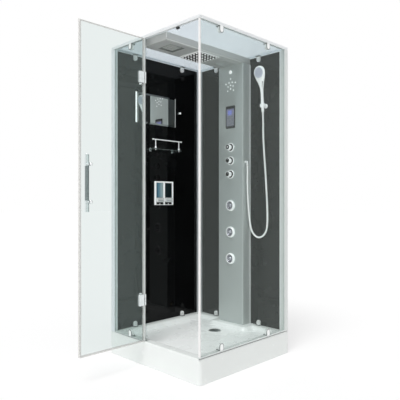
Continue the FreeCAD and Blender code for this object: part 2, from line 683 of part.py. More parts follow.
def make_column():
    """The steam column: a bevelled channel with holes for all that is set into it."""
    inset = "column_wall * 0.414214"
    right = [("column_half", "wall"), ("column_half", "front_face + column_bevel"),
             ("column_half - column_bevel", "front_face")]
    inner = [("column_half - column_wall", "wall"),
             ("column_half - column_wall", f"front_face + column_bevel + {inset}"),
             (f"column_half - column_bevel - {inset}", "front_face + column_wall")]

    def mirrored(points):
        return [(f"-({across})", along) for across, along in reversed(points)]

    points = mirrored(right)[::-1] + right[::-1] + inner + mirrored(inner)
    shell = extrusion(points, "tray_top", "bridge_low")
    holes = [through_front("stem + 3", high) for high in knob_heights()]
    holes += [through_front("28.5", high) for high in jet_heights()]
    holes += [through_front("sound_hole", "speaker_high")]
    holes += ring_of_holes(5, "speaker_inner", 54) + ring_of_holes(5, "speaker_outer", 18)
    holes.append(through_front("lamp_radius - 4.5", "lamp_high"))
    holes.append(rod("x", "9", ("-column_half - 1", "-column_half + column_wall + 1"),
                     ("wall - steam_gap", "tray_top + steam_lift")))
    keep("steam_column", cut(shell, *holes))

    plate = block(("-glass_edge", "glass_edge"), ("wall", "wall + 3"), ("tray_top", "rail_low"))
    inlets = [rod("y", "inlet + 1", ("wall - 1", "wall + 4"),
                  (f"{sign} * inlet_apart / 2", "inlet_high")) for sign in (-1, 1)]
    keep("column_back_plate", cut(plate, *inlets))


def square_hole(half, along, low, high):
    return block((f"-({half})", half), (f"{along} - ({half})", f"{along} + {half}"), (low, high))


def bridge_section(inset, top):
    """The ceiling housing's section, moved inwards by an inset: a box with bevelled lower edges."""
    half, low = f"bridge_half - {inset}", f"bridge_low + {inset}"
    lean = f"bridge_bevel - {inset} * 0.585786"
    return [(f"-({half})", top), (f"-({half})", f"{low} + {lean}"), (f"-({half} - ({lean}))", low),
            (f"{half} - ({lean})", low), (half, f"{low} + {lean}"), (half, top)]


def make_ceiling():
    """The housing under the roof with the rain shower and the lamp."""
    front, back = "-outer + bridge_in", "outer - rail_wide"
    outside = extrusion(bridge_section("0", "roof_low"), front, back, "XZ_Plane")
    inside = extrusion(bridge_section("bridge_wall", "roof_low + 1"), f"{front} + bridge_wall",
                       f"{back} - bridge_wall", "XZ_Plane")
    below = ("bridge_low - 1", "bridge_low + bridge_wall + 1")
    holes = [square_hole("lamp_side / 2", f"{sign} * lamp_from", *below) for sign in (-1, 1)]
    holes.append(rod("z", "pipe + 1", below, ("riser_across", "0")))
    holes.append(rod("z", "pipe + 2", below,
                     ("riser_across", "front_face + column_wall + valve_long + manifold / 2")))
    keep("ceiling_housing", cut(outside, inside, *holes))

    plate = doc.addObject("PartDesign::Body", "rain")
    half = "rain_side / 2"
    pad = plate.newObject("PartDesign::Pad", "plate")
    pad.Profile = outline(sketch_on(plate, "XY_Plane"), [
        (f"-{half}", f"-{half}"), (half, f"-{half}"), (half, half), (f"-{half}", half)])
    bind(pad, Length="rain_thick")
    first = "-nozzle_pitch * (nozzle_rows - 1) / 2"
    hole = plate.newObject("PartDesign::Pocket", "nozzle")
    sketch = circle(sketch_on(plate, "XY_Plane"), "3", first, first)
    hole.Profile = sketch
    hole.Reversed = True
    hole.Length = 2
    doc.recompute()
    spread = plate.newObject("PartDesign::MultiTransform", "nozzles")
    spread.Originals = [hole]
    rows = []
    for axis in ("H_Axis", "V_Axis"):
        row = plate.newObject("PartDesign::LinearPattern", "row")
        row.Direction = (sketch, [axis])
        bind(row, Length="nozzle_pitch * (nozzle_rows - 1)", Occurrences="nozzle_rows")
        rows.append(row)
    spread.Transformations = rows
    plate.Tip = spread
    place(plate, ("0", "0", "bridge_low - rain_thick"))
    keep("rain_plate", plate)

    lamp = "lamp_side / 2 - apart"
    box = square_hole(lamp, "-lamp_from", "bridge_low", "bridge_low + 32")
    room = square_hole(f"{lamp} - 4", "-lamp_from", "bridge_low - 1", "bridge_low + 28")
    lens = square_hole(f"{lamp} - 12", "-lamp_from", "bridge_low + 22", "bridge_low + 28")
    keep("ceiling_lamp", group(cut(box, room), lens))


def make_fan():
    """The fan in the ceiling housing: a slotted grille, a motor under the roof and its rotor."""
    half = "lamp_side / 2 - apart"
    plate = square_hole(half, "lamp_from", "bridge_low", "bridge_low + 3")
    slots = [block(("-50", "50"), (f"lamp_from + {16 * step} - 4", f"lamp_from + {16 * step} + 4"),
                   ("bridge_low - 1", "bridge_low + 4")) for step in (-3, -2, -1, 0, 1, 2, 3)]
    keep("fan_grille", cut(plate, *slots))
    spot = ("0", "lamp_from")
    motor = rod("z", "24", ("roof_low - 22", "roof_low"), spot)
    bore = rod("z", "3 + running", ("roof_low - 23", "roof_low - 8"), spot)
    keep("fan_motor", cut(motor, bore))
    hub = rod("z", "16", ("roof_low - 40", "roof_low - 23"), spot)
    shaft = rod("z", "3", ("roof_low - 24", "roof_low - 9"), spot)
    blades = []
    for index in range(5):
        blade = doc.addObject("Part::Box", "blade")
        bind(blade, Length="fan_radius", Width="14", Height="2")
        turn = Rotation(Vector(0, 0, 1), 72 * index) * Rotation(Vector(1, 0, 0), 25)
        corner = turn.multVec(Vector(0, -7, -1))
        blade.Placement = Placement(Vector(), turn)
        for letter, text in zip("xyz", (f"{corner.x:.4f}", f"lamp_from + {corner.y:.4f}",
                                        f"roof_low - 31 + {corner.z:.4f}")):
            blade.setExpression("Placement.Base." + letter, formula(text))
        blades.append(blade)
    keep("fan_rotor", fuse(hub, shaft, *blades))


# ---------------------------------------------------------------- controls, jets and plumbing

def make_controls():
    """The control panel, the loudspeaker, the lamp and the steam generator."""
    half = "bezel_wide / 2"
    tall = ("screen_high - bezel_tall / 2", "screen_high + bezel_tall / 2")
    frame = block((f"-{half}", half), ("front_face - 6", "front_face"), tall)
    window = (f"-({half} - bezel_edge)", f"{half} - bezel_edge")
    glass = (f"{tall[0]} + bezel_edge", f"{tall[1]} - bezel_edge")
    keep("control_bezel", cut(frame, block(window, ("front_face - 7", "front_face + 1"), glass)))
    keep("control_screen", block(window, ("front_face - 5", "front_face"), glass))
    keep("control_box", block(("-40", "40"),
                              ("front_face + column_wall", "front_face + column_wall + 38"),
                              ("screen_high - 60", "screen_high + 60")))

    keep("loudspeaker", on_column([("0", "-column_wall"), ("58", "-column_wall"), ("58", "-9"),
                                   ("34", "-30"), ("34", "-42"), ("0", "-42")], "speaker_high"))
    keep("column_lamp", on_column([("0", "-16"), ("lamp_radius - 5", "-16"),
                                   ("lamp_radius - 5", "0"), ("lamp_radius", "0"),
                                   ("lamp_radius", "2"), ("lamp_radius - 4", "5"), ("0", "6")],
                                  "lamp_high"))
    back = "wall - 8"
    keep("steam_generator", block(("-85", "85"), ("front_face + 24", back),
                                  ("steam_low", "steam_low + 250")))
    along, level = "wall - steam_gap", "tray_top + steam_lift"
    nozzle = turned([("0", "-14"), ("8.5", "-14"), ("8.5", "0"), ("22", "0"), ("22", "3"),
                     ("15", "11"), ("0", "14")], ("-column_half", along, level), (0, 1, 0), -90)
    turn = "-column_half + 54"
    keep("steam_outlet", fuse(nozzle, rod("x", "6", ("-column_half + 8", turn), (along, level)),
                              rod("z", "6", (level, "steam_low"), (turn, along)),
                              ball("7.5", (turn, along, level))))


def make_knobs():
    """Three valves behind the column, each with a ring and a knob in front of it."""
    bore = "stem + running"
    valve = [(bore, "-column_wall"), ("valve", "-column_wall"),
             ("valve", "-column_wall - valve_long"), ("0", "-column_wall - valve_long"),
             ("0", "-31"), (bore, "-31")]
    ring = [("stem + 2", "0"), ("34.5", "0"), ("34.5", "2"), ("30", "5"), ("stem + 2", "5")]
    knob = [("0", "-30"), ("stem", "-30"), ("stem", "8"), ("21.5", "8"), ("21.5", "37"),
            ("18.5", "40"), ("0", "40")]
    keep("water_valves", group(*[on_column(valve, high) for high in knob_heights()]))
    keep("knob_rings", group(*[on_column(ring, high) for high in knob_heights()]))
    for name, high in zip(("lower_diverter_knob", "upper_diverter_knob", "mixer_knob"),
                          knob_heights()):
        piece = on_column(knob, high)
        if name == "mixer_knob":
            lever = rod("x", "4", ("-38", "0"), ("front_face - 28", high))
            piece = fuse(piece, lever)
        keep(name, piece)


def make_jets():
    """Three massage jets: a seat let into the column and a ball nozzle that tilts in it."""
    seat = [("0", "-26"), ("28", "-26"), ("28", "0"), ("43", "0"), ("41", "9"), ("33", "16"),
            ("25", "19"), ("jet_seat", "8"), ("jet_seat", "-20"), ("0", "-20")]
    keep("jet_seats", group(*[on_column(seat, high) for high in jet_heights()]))
    for name, high in zip(("lower", "middle", "upper"), jet_heights()):
        centre = "front_face - 1"
        globe = ball("jet_ball", ("0", centre, high))
        snout = rod("y", "8", ("front_face - 27", centre), ("0", high))
        way = rod("y", "5", ("front_face - 28", "front_face - 12"), ("0", high))
        keep(f"{name}_jet_nozzle", cut(fuse(globe, snout), way))


def make_plumbing():
    """The pipes: inlets and manifold, the riser to the rain shower and the feed of the jets."""
    back = "front_face + column_wall + valve_long"
    half = "manifold / 2"
    deep = (back, f"{back} + manifold")
    middle = f"{back} + {half}"
    top = "knob_low + 2 * knob_step + 40"
    pieces = [block((f"-{half}", half), deep, ("inlet_high - 35", top)),
              block(("-inlet_apart / 2 - 10", "inlet_apart / 2 + 10"), deep,
                    (f"inlet_high - {half}", f"inlet_high + {half}"))]
    for sign in (-1, 1):
        spot = (f"{sign} * inlet_apart / 2", "inlet_high")
        pieces.append(rod("y", "inlet - 2", (middle, "wall + 6"), spot))
        pieces.append(rod("y", "inlet", ("wall + 4", "outer"), spot))
    level = "roof_low - 20"
    corners = [(f"{top} - {half}", middle), (level, middle), (level, "0")]
    pieces.append(rod("x", "pipe", ("0", "riser_across"), (middle, corners[0][0])))
    pieces.append(rod("z", "pipe", (corners[0][0], level), ("riser_across", middle)))
    pieces.append(rod("y", "pipe", ("0", middle), ("riser_across", level)))
    pieces.append(rod("z", "pipe", ("bridge_low", level), ("riser_across", "0")))
    pieces += [ball("pipe + 1.5", ("riser_across", along, high)) for high, along in corners]
    feed = ("front_face + 26", "front_face + 38")
    pieces.append(block(("-6", "6"), feed, ("jet_low - 20", "inlet_high - 33")))
    pieces.append(block(("-6", "6"), (feed[0], deep[1]), ("inlet_high - 47", "inlet_high - 33")))
    keep("water_pipes", fuse(*pieces))


# ---------------------------------------------------------------- fittings on the walls

def make_left_wall_fittings():
    """The mirror, the hook, the glass shelf with its rail and the soap dispenser."""
    face = "-wall"
    keep("mirror", block((face, f"{face} + mirror_thick"),
                         ("mirror_along - mirror_wide / 2", "mirror_along + mirror_wide / 2"),
                         ("mirror_high - mirror_tall / 2", "mirror_high + mirror_tall / 2")))
    keep("robe_hook", turned([("0", "0"), ("9", "0"), ("9", "2"), ("4", "4"), ("4", "12"),
                              ("8", "15"), ("8", "18"), ("6", "20"), ("0", "20")],
                             (face, "hook_along", "hook_high"), (0, 1, 0), 90))

    front = f"{face} + shelf_deep"
    top = "shelf_high + shelf_thick"
    keep("shelf_glass", block((face, front),
                              ("shelf_along - shelf_long / 2", "shelf_along + shelf_long / 2"),
                              ("shelf_high", top)))
    axis = f"{front} - 9"
    pieces = [rod("y", "gallery_radius", ("shelf_along - shelf_long / 2 + 3",
                                          "shelf_along + shelf_long / 2 - 3"),
                  (axis, f"{top} + gallery_high"))]
    clamps = []
    for sign in (-1, 1):
        along = f"shelf_along + {sign} * gallery_posts / 2"
        pieces.append(rod("z", "4", (top, f"{top} + gallery_high"), (axis, along)))
        pieces.append(rod("z", "7", (top, f"{top} + 5"), (axis, along)))
        along = f"shelf_along + {sign} * shelf_clamp / 2"
        for low, high in (("shelf_high - 10", "shelf_high"), (top, f"{top} + 9")):
            clamps.append(block((face, f"{face} + 20"), (f"{along} - 10", f"{along} + 10"),
                                (low, high)))
    keep("shelf_rail", fuse(*pieces))
    keep("shelf_clamps", group(*clamps))


def make_dispenser():
    """A soap dispenser with two tanks behind windows and a push lever under each."""
    face = "-wall"
    front = f"{face} + dispenser_deep"
    left = "dispenser_along - dispenser_wide / 2"
    window = "(dispenser_wide - 3 * pillar) / 2"
    top = "dispenser_low + dispenser_tall"
    case = block((face, front), (left, f"{left} + dispenser_wide"), ("dispenser_low", top))
    rooms, tanks = [], []
    high = (f"{top} - 12 - window_tall", f"{top} - 12")
    low = ("dispenser_low + 22", "dispenser_low + 22 + lever_tall")
    for index, name in enumerate(("front", "rear")):
        start = f"{left} + pillar + {index} * ({window} + pillar)"
        end = f"{start} + {window}"
        rooms.append(block((f"{front} - 40", f"{front} + 1"), (start, end), high))
        tanks.append(block((f"{front} - 40", f"{front} - 3"), (start, end), high))
        rooms.append(block((f"{front} - lever_travel - 6", f"{front} + 1"), (start, end), low))
        keep(f"{name}_soap_lever", block(
            (f"{front} - 5", f"{front} + lever_out"),
            (f"{start} + apart", f"{end} - apart"), (f"{low[0]} + apart", f"{low[1]} - apart")))
    keep("soap_dispenser", group(cut(case, *rooms), *tanks))


# ---------------------------------------------------------------- handset and hose

def along_grip(distance, across="bracket_across"):
    """A point on the handset's tilted axis, at a distance above the bracket's ring."""
    return (across, f"cup_y - ({distance}) * sin(bracket_tilt * 1deg)",
            f"bracket_high + ({distance}) * cos(bracket_tilt * 1deg)")


TILT = dict(axis=(1, 0, 0), degrees="bracket_tilt")


def make_handset():
    """The handset in its wall bracket: a tapered grip, a flared neck and a round head."""
    plate = rod("y", "17", ("wall - 12", "wall"), ("bracket_across", "bracket_high"))
    arm = block(("bracket_across - 8", "bracket_across + 8"), ("cup_y + 14", "wall - 6"),
                ("bracket_high - 9", "bracket_high + 9"))
    ring = turned([("0", "-13"), ("ring_outer - 2", "-13"), ("ring_outer", "13"), ("0", "13")],
                  along_grip(0), **TILT)
    bore = turned([("0", "-40"), ("ring_bore", "-40"), ("ring_bore", "60"), ("0", "60")],
                  along_grip(0), **TILT)
    keep("handset_bracket", cut(fuse(plate, arm, ring), bore))

    grip = [("0", "-48"), ("hose_radius + 3.5", "-48"), ("hose_radius + 3.5", "-18"),
            ("handle_foot", "-16"), ("handle_foot + 1", "14"), ("handle_foot + 3", "60"),
            ("handle_foot + 2", "grip_long - 40"), ("handle_foot + 4", "grip_long"),
            ("0", "grip_long + 6")]
    across, along, high = along_grip("head_at")
    head = turned([("0", "-14"), ("head_radius - 20", "-14"), ("head_radius - 2", "-2"),
                   ("head_radius", "6"), ("head_radius", "10"), ("head_radius - 5", "10"),
                   ("head_radius - 7", "13"), ("0", "14")],
                  (across, f"{along} - head_out", high), (1, 0, 0), "90 + head_lean")
    rise = number("head_at - neck_at")
    lean = number("bracket_tilt") + math.degrees(math.atan2(number("head_out"), rise))
    neck = turned([("0", "-20"), ("handle_foot + 1", "-20"), ("handle_foot + 12", "100"),
                   ("0", "100")], along_grip("neck_at"), (1, 0, 0), lean)
    keep("handset", fuse(turned(grip, along_grip(0), **TILT), neck, head))


def make_hose_outlet():
    """The outlet on the column's right side: a rosette, a short arm and a nut that points down."""
    side, along, high = "column_half", "outlet_along", "outlet_high"
    axis = f"{side} + outlet_out"
    keep("hose_outlet", fuse(
        rod("x", "12", (side, f"{side} + 4"), (along, high)),
        rod("x", "9", (side, f"{axis} + 9"), (along, high)),
        rod("z", "7.5", (f"{high} - outlet_drop", high), (axis, along)),
        rod("z", "10", (f"{high} - outlet_drop", f"{high} - 12"), (axis, along))))


# The hose's route between its two nuts: share of the way from the outlet to the bracket,
# distance in front of the wall, height above the outlet
HOSE_ROUTE = [
    (0.93, 23, 278), (0.91, 20, 190), (0.98, 19, 52), (1.08, 19, -98), (1.16, 20, -235),
    (1.22, 21, -360), (1.245, 23, -458), (1.165, 25, -522), (0.87, 29, -565), (0.49, 33, -567),
    (0.18, 38, -528), (0.07, 43, -465), (0.025, 49, -382), (-0.01, 56, -275), (-0.015, 60, -165),
    (0, 62, -78),
]


def straight_and_curved(points, share=0.45):
    """A path of straight runs joined by tangent arcs, and the radii of the arcs."""
    edges, radii, start = [], [], points[0]
    for before, corner, after in zip(points, points[1:], points[2:]):
        come, leave = corner - before, after - corner
        half_turn = come.getAngle(leave) / 2
        cut_back = share * min(come.Length, leave.Length)
        radii.append(cut_back / math.tan(half_turn))
        come.normalize()
        leave.normalize()
        entry, way_out = corner - come * cut_back, corner + leave * cut_back
        inward = leave - come
        inward.normalize()
        middle = corner + inward * (radii[-1] / math.cos(half_turn) - radii[-1])
        edges += [Part.LineSegment(start, entry).toShape(),
                  Part.Arc(entry, middle, way_out).toShape()]
        start = way_out
    edges.append(Part.LineSegment(start, points[-1]).toShape())
    return Part.Wire(edges), radii


def make_hose():
    """The hose from the handset's nut down in a loop and up to the outlet on the column."""
    top = Vector(*[number(text) for text in along_grip("-48")])
    down = Vector(*[number(text) for text in along_grip("-80")])
    start, across = number("column_half + outlet_out"), number("bracket_across")
    high = number("outlet_high")
    route = [top, down]
    for share, gap, rise in HOSE_ROUTE:
        route.append(Vector(start + share * (across - start), number("wall") - gap, high + rise))
    route.append(Vector(start, number("outlet_along"), high - number("outlet_drop")))
    path, radii = straight_and_curved(route)
    radius = number("hose_radius")
    section = Part.Wire(Part.Circle(top, down - top, radius).toShape())
    tube = Part.Wire(path).makePipeShell([section], True, False)
    expected = math.pi * radius ** 2 * path.Length
    print("hose length", round(path.Length), "radii", [round(size) for size in radii])
    print("hose volume against section times length", round(tube.Volume / expected, 4))
    hose = doc.addObject("Part::Feature", "hose")
    hose.Shape = tube
    keep("shower_hose", hose)


# ---------------------------------------------------------------- building, checking, writing

def export():
    """Stop on any failed object or bad shape, then write each sub-part."""
    doc.recompute()
    for item in doc.Objects:
        if "Invalid" in item.State or "Error" in item.State:
            raise RuntimeError(f"{item.Label} failed: {item.State}")
    for name, item in nodes.items():
        shape = item.Shape
        if shape.isNull() or not shape.isValid() or not shape.Solids:
            raise RuntimeError(f"{name} has no valid solid")
    os.makedirs("parts", exist_ok=True)
    for name, item in nodes.items():
        item.Shape.exportStep(f"parts/{name}.step")
    print(len(nodes), "sub-parts")


for make in (make_tray, make_frame, make_drain, make_shell, make_glass, make_pane_seals,
             make_clips, make_door, make_hinges, make_column, make_ceiling, make_fan,
             make_controls, make_knobs, make_jets, make_plumbing, make_left_wall_fittings,
             make_dispenser, make_handset, make_hose_outlet, make_hose):
    make()
export()
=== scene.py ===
import math
import bpy
import numpy as np
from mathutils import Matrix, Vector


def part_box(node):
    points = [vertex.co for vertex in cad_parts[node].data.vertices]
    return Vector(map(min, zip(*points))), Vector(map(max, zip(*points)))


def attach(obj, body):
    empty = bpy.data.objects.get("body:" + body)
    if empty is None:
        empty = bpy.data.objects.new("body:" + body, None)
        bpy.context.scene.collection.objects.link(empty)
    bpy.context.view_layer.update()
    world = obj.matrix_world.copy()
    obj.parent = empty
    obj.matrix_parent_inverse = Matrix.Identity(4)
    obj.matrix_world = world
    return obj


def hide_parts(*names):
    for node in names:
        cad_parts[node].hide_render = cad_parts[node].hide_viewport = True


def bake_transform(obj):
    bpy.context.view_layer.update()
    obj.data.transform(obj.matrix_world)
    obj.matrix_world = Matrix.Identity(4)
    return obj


# Looks of the steam shower cabin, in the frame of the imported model. -Y is the door's side, +X
# the whole pane's side, -X and +Y are the black glass walls.
# Shapes are worked out in millimetres, and addPiece brings them to the frame's metres.

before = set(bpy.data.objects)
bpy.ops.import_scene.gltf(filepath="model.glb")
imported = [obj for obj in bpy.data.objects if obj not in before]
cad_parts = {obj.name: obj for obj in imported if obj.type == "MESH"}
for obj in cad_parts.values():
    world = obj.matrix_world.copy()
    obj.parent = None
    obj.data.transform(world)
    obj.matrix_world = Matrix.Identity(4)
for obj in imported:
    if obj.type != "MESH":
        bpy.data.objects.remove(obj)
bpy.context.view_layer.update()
mm = 0.001

camera = {"place": (2.467, -2.470, 1.1024), "yaw": 0.7839, "lens": 43.58}
light = {
    "skyOnThings": 0.50,        # strength of the white surroundings on matt surfaces
    "sunStrength": 2.2,
    "sunTurn": (28, 0, 21),     # degrees
    "sunWidth": 24,
    "floorColour": 0.92,
    "floorLift": 0.62,          # share of plain white that the camera and mirrors see in the ground
    "floorReach": 40,           # metres
}
white = (1, 1, 1)
finishes = {}                   # the materials by name


def corners(node):
    # Lowest and highest corner of a node, in millimetres.
    return [np.array(corner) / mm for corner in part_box(node)]


def feed(tree, sockets, values):
    # Values that are sockets get a link, the others are set. A colour has three numbers here.
    for key, value in values.items():
        if isinstance(value, bpy.types.NodeSocket):
            tree.links.new(value, sockets[key])
        else:
            sockets[key].default_value = (*value, 1) if sockets[key].type == "RGBA" else value


def add(tree, kind, values, result=0, **settings):
    # A new shader node with its settings and inputs. Gives back one of its outputs.
    made = tree.nodes.new("ShaderNode" + kind)
    for key, value in settings.items():
        setattr(made, key, value)
    feed(tree, made.inputs, values)
    return made.outputs[result]


def maths(tree, operation, *values, clamp=False):
    return add(tree, "Math", dict(enumerate(values)), operation=operation, use_clamp=clamp)


def mixed(tree, share, first, second):
    return add(tree, "MixShader", {0: share, 1: first, 2: second})


def seenDirectly(tree):
    # 1 where a camera, glossy or transmission ray looks on, 0 where matt surfaces gather light.
    path = add(tree, "LightPath", {}).node.outputs
    either = maths(tree, "MAXIMUM", path["Is Camera Ray"], path["Is Glossy Ray"])
    return maths(tree, "MAXIMUM", either, path["Is Transmission Ray"])


def linked(name, data):
    item = bpy.data.objects.new(name, data)
    bpy.context.scene.collection.objects.link(item)
    return item


def makeCamera():
    data = bpy.data.cameras.new("photoCamera")
    data.lens, data.sensor_width = camera["lens"], 36
    item = linked("photoCamera", data)
    item.location = camera["place"]
    item.rotation_euler = (math.pi / 2, 0, camera["yaw"])
    bpy.context.scene.camera = item


def makeLight():
    scene = bpy.context.scene
    scene.view_settings.view_transform = "Standard"
    scene.world = bpy.data.worlds.new("whiteStudio")
    scene.world.use_nodes = True
    tree = scene.world.node_tree
    tree.nodes.clear()
    dim, full = (add(tree, "Background", {"Color": white, "Strength": strength})
                 for strength in (light["skyOnThings"], 1))
    tree.links.new(mixed(tree, seenDirectly(tree), dim, full),
                   tree.nodes.new("ShaderNodeOutputWorld").inputs[0])
    lamp = bpy.data.lights.new("softSun", "SUN")
    lamp.energy = light["sunStrength"]
    lamp.angle = math.radians(light["sunWidth"])
    linked("softSun", lamp).rotation_euler = [math.radians(turn) for turn in light["sunTurn"]]


def makeFloor():
    mesh = bpy.data.meshes.new("studioFloor")
    reach = light["floorReach"]
    mesh.from_pydata([(-reach, -reach, 0), (reach, -reach, 0), (reach, reach, 0),
                      (-reach, reach, 0)], [], [(0, 1, 2, 3)])
    tree, shader = newMaterial("floorPaper")
    tree.nodes.remove(shader)
    matt = add(tree, "BsdfDiffuse", {"Color": [light["floorColour"]] * 3})
    glow = add(tree, "Emission", {"Color": white})
    lift = maths(tree, "MULTIPLY", seenDirectly(tree), light["floorLift"])
    showOn(tree, mixed(tree, lift, matt, glow))
    mesh.materials.append(finishes["floorPaper"])
    linked("studioFloor", mesh)


def shell(rings, closed=False, marks=(0, 0)):
    # Rings of points joined side by side: point j of ring i meets j + 1 and the next ring.
    # The first and last ring are capped unless the rings close on each other.
    rings = np.asarray(rings, float)
    count, around = rings.shape[:2]
    index = np.arange(count * around).reshape(count, around)
    here = index if closed else index[:-1]
    there = np.roll(index, -1, 0) if closed else index[1:]
    quads = np.stack([here, np.roll(here, -1, 1), np.roll(there, -1, 1), there], -1).reshape(-1, 4)
    points = rings.reshape(-1, 3)
    middle = points.mean(0)
    a, b, c, d = (points[quads[:, k]] - middle for k in range(4))
    volume = np.einsum("ij,ij->", a, np.cross(b, c)) + np.einsum("ij,ij->", a, np.cross(c, d))
    caps = [] if closed else [index[0, ::-1], index[-1]]
    for cap in caps:
        fan = points[cap] - middle
        volume += np.einsum("ij,ij->", np.cross(fan[1:-1], fan[2:]),
                            np.repeat(fan[:1], len(fan) - 2, 0))
    if volume < 0:
        quads = quads[:, ::-1]
        caps = [cap[::-1] for cap in caps]
    faces = quads.tolist() + [cap.tolist() for cap in caps]
    return points, faces, [marks[1]] * len(quads) + [marks[0]] * len(caps)


def roundedRectangle(width, height, corner, shrink=1, steps=5, least=0.01):
    # Four quarter circles centred inside the corners of a rectangle. It gives a function of
    # the inset: the sides move inwards, and the corner radius shrinks by a share of the inset.
    turn = np.linspace(0, math.pi / 2, steps)

    def outlineAt(inset):
        r, sides = max(corner - shrink * inset, least), []
        for quarter, (right, up) in enumerate([(1, 1), (-1, 1), (-1, -1), (1, -1)]):
            angle = turn + quarter * math.pi / 2
            sides.append(np.stack([right * (width / 2 - inset - r) + r * np.cos(angle),
                                   up * (height / 2 - inset - r) + r * np.sin(angle)], -1))
        return np.concatenate(sides)
    return outlineAt


def archOutline(width, height, inset):
    # A flat foot and a half circle as wide as the piece, all moved inwards by the inset.
    turn = np.linspace(0, math.pi, 13)
    radius = width / 2 - inset
    top = np.stack([radius * np.cos(turn), height - width / 2 + radius * np.sin(turn)], -1)
    return np.concatenate([[[-radius, inset], [radius, inset]], top])


def ringsOf(outlineAt, axis, origin, profile):
    # For each inset and place of the profile, the outline at that inset, set at that place.
    across, up = [(1, 2), (0, 2), (0, 1)][axis]
    rings = []
    for inset, place in profile:
        outline = outlineAt(inset)
        ring = np.full((len(outline), 3), float(place))
        ring[:, across] = origin[across] + outline[:, 0]
        ring[:, up] = origin[up] + outline[:, 1]
        rings.append(ring)
    return rings


def carried(outlineAt, axis, origin, near, far, edge, marks=(0, 0), band=0):
    # An outline carried along an axis from near to far. At both faces it shrinks by the edge
    # radius along a quarter circle: inset r(1 - sin t) at depth r(1 - cos t). A band is a flat
    # border on both faces.
    turn = np.linspace(0, math.pi / 2, 4)
    inset, depth = edge * (1 - np.sin(turn)), edge * (1 - np.cos(turn))
    profile = [*zip(inset, near + depth), *zip(inset[::-1], (far - depth)[::-1])]
    if band:
        profile = [(band, near), *profile, (band, far)]
    return shell(ringsOf(outlineAt, axis, origin, profile), marks=marks)


def slab(low, high, axis, corner=2, edge=0.6, marks=(0, 0), band=0):
    # A rounded rectangle carried through a plate's thickness, between two corners.
    low, high = np.array(low, float), np.array(high, float)
    outlineAt = roundedRectangle(*np.delete(high - low, axis), corner)
    return carried(outlineAt, axis, (low + high) / 2, low[axis], high[axis], edge, marks, band)


def softened(profile, radius):
    # A run of points whose inner corners are cut back by the radius and bridged by a
    # quadratic curve: (1-t)^2 a + 2t(1-t) corner + t^2 b.
    points = np.array(profile, float)
    t = np.linspace(0, 1, 4)[:, None]
    made = [points[:1]]
    for before, corner, after in zip(points, points[1:], points[2:]):
        back, on = before - corner, after - corner
        a = corner + back * min(radius / np.linalg.norm(back), 0.49)
        b = corner + on * min(radius / np.linalg.norm(on), 0.49)
        made.append((1 - t) ** 2 * a + 2 * t * (1 - t) * corner + t ** 2 * b)
    return np.concatenate([*made, points[-1:]])


def drum(inner, outer, bottom, top):
    # The profile of a plain cylinder.
    return [(inner, bottom), (outer, bottom), (outer, top), (inner, top)]


def turned(profile, centre, direction=(0, 0, 1), steps=32, soft=0.6, flutes=0, depth=0.0,
           fluted=(0, 0), closed=False):
    # A profile of radius and height turned about a direction. Between two heights the radius
    # swings with the angle: r (1 - depth (0.5 + 0.5 cos(flutes t))).
    points = softened(profile, soft) if soft else np.array(profile, float)
    along = np.array(direction, float) / np.linalg.norm(direction)
    side = np.cross((0, 0, 1) if abs(along[2]) < 0.9 else (1, 0, 0), along)
    side /= np.linalg.norm(side)
    t = np.linspace(0, 2 * math.pi, steps, endpoint=False)
    radius = np.maximum(points[:, :1], 0.05) * np.ones_like(t)
    if flutes:
        inside = ((points[:, 1] > fluted[0]) & (points[:, 1] < fluted[1]))[:, None]
        radius = radius * (1 - inside * depth * (0.5 + 0.5 * np.cos(flutes * t)))
    ring = np.cos(t)[:, None] * side + np.sin(t)[:, None] * np.cross(along, side)
    rings = (np.array(centre, float) + points[:, 1, None, None] * along
             + radius[:, :, None] * ring)
    return shell(rings, closed=closed)


def tube(path, radius, reference=(0, 1, 0), steps=12):
    # A circle carried along a path: side = tangent x reference, up = side x tangent.
    path = np.array(path, float)
    tangent = np.gradient(path, axis=0)
    tangent /= np.linalg.norm(tangent, axis=1, keepdims=True)
    side = np.cross(tangent, np.array(reference, float))
    side /= np.linalg.norm(side, axis=1, keepdims=True)
    up = np.cross(side, tangent)
    t = np.linspace(0, 2 * math.pi, steps, endpoint=False)
    size = np.broadcast_to(radius, len(path))[:, None, None]
    return shell(path[:, None] + size * (np.cos(t)[:, None] * side[:, None]
                                         + np.sin(t)[:, None] * up[:, None]))


def curve(points, count=24):
    # A smooth path through points: each stretch is a Catmull-Rom cubic.
    p = np.array(points, float)
    p = np.concatenate([2 * p[:1] - p[1:2], p, 2 * p[-1:] - p[-2:-1]])
    t = np.linspace(0, 1, count, endpoint=False)[:, None]
    made = [0.5 * (2 * b + (c - a) * t + (2 * a - 5 * b + 4 * c - d) * t ** 2
                   + (3 * b - a - 3 * c + d) * t ** 3)
            for a, b, c, d in zip(p, p[1:], p[2:], p[3:])]
    return np.concatenate(made + [p[-2:-1]])


def groovedBox(low, high, grooves, corner=1.5):
    # A post: a rectangle whose sides carry square grooves, carried upwards.
    # A groove is (side 0-3 from the right, distance along the side, width, depth).
    spots = [(high[0], low[1]), (high[0], high[1]), (low[0], high[1]), (low[0], low[1])]
    outline = []
    for side in range(4):
        start, end = np.array(spots[side]), np.array(spots[(side + 1) % 4])
        along = (end - start) / np.linalg.norm(end - start)
        inward = np.array([-along[1], along[0]])
        outline += [start + (along + inward) * corner * 0.3, start + along * corner]
        for which, place, width, depth in sorted(grooves):
            if which == side:
                near = start + along * (place - width / 2)
                far = near + along * width
                outline += [near, near + inward * depth, far + inward * depth, far]
        outline.append(end - along * corner)
    outline = np.array(outline)
    return shell([np.column_stack([outline, np.full(len(outline), z)]) for z in (low[2], high[2])])


def marked(shape, mark):
    # The same shape in another of its piece's finishes.
    return shape[0], shape[1], [mark] * len(shape[1])


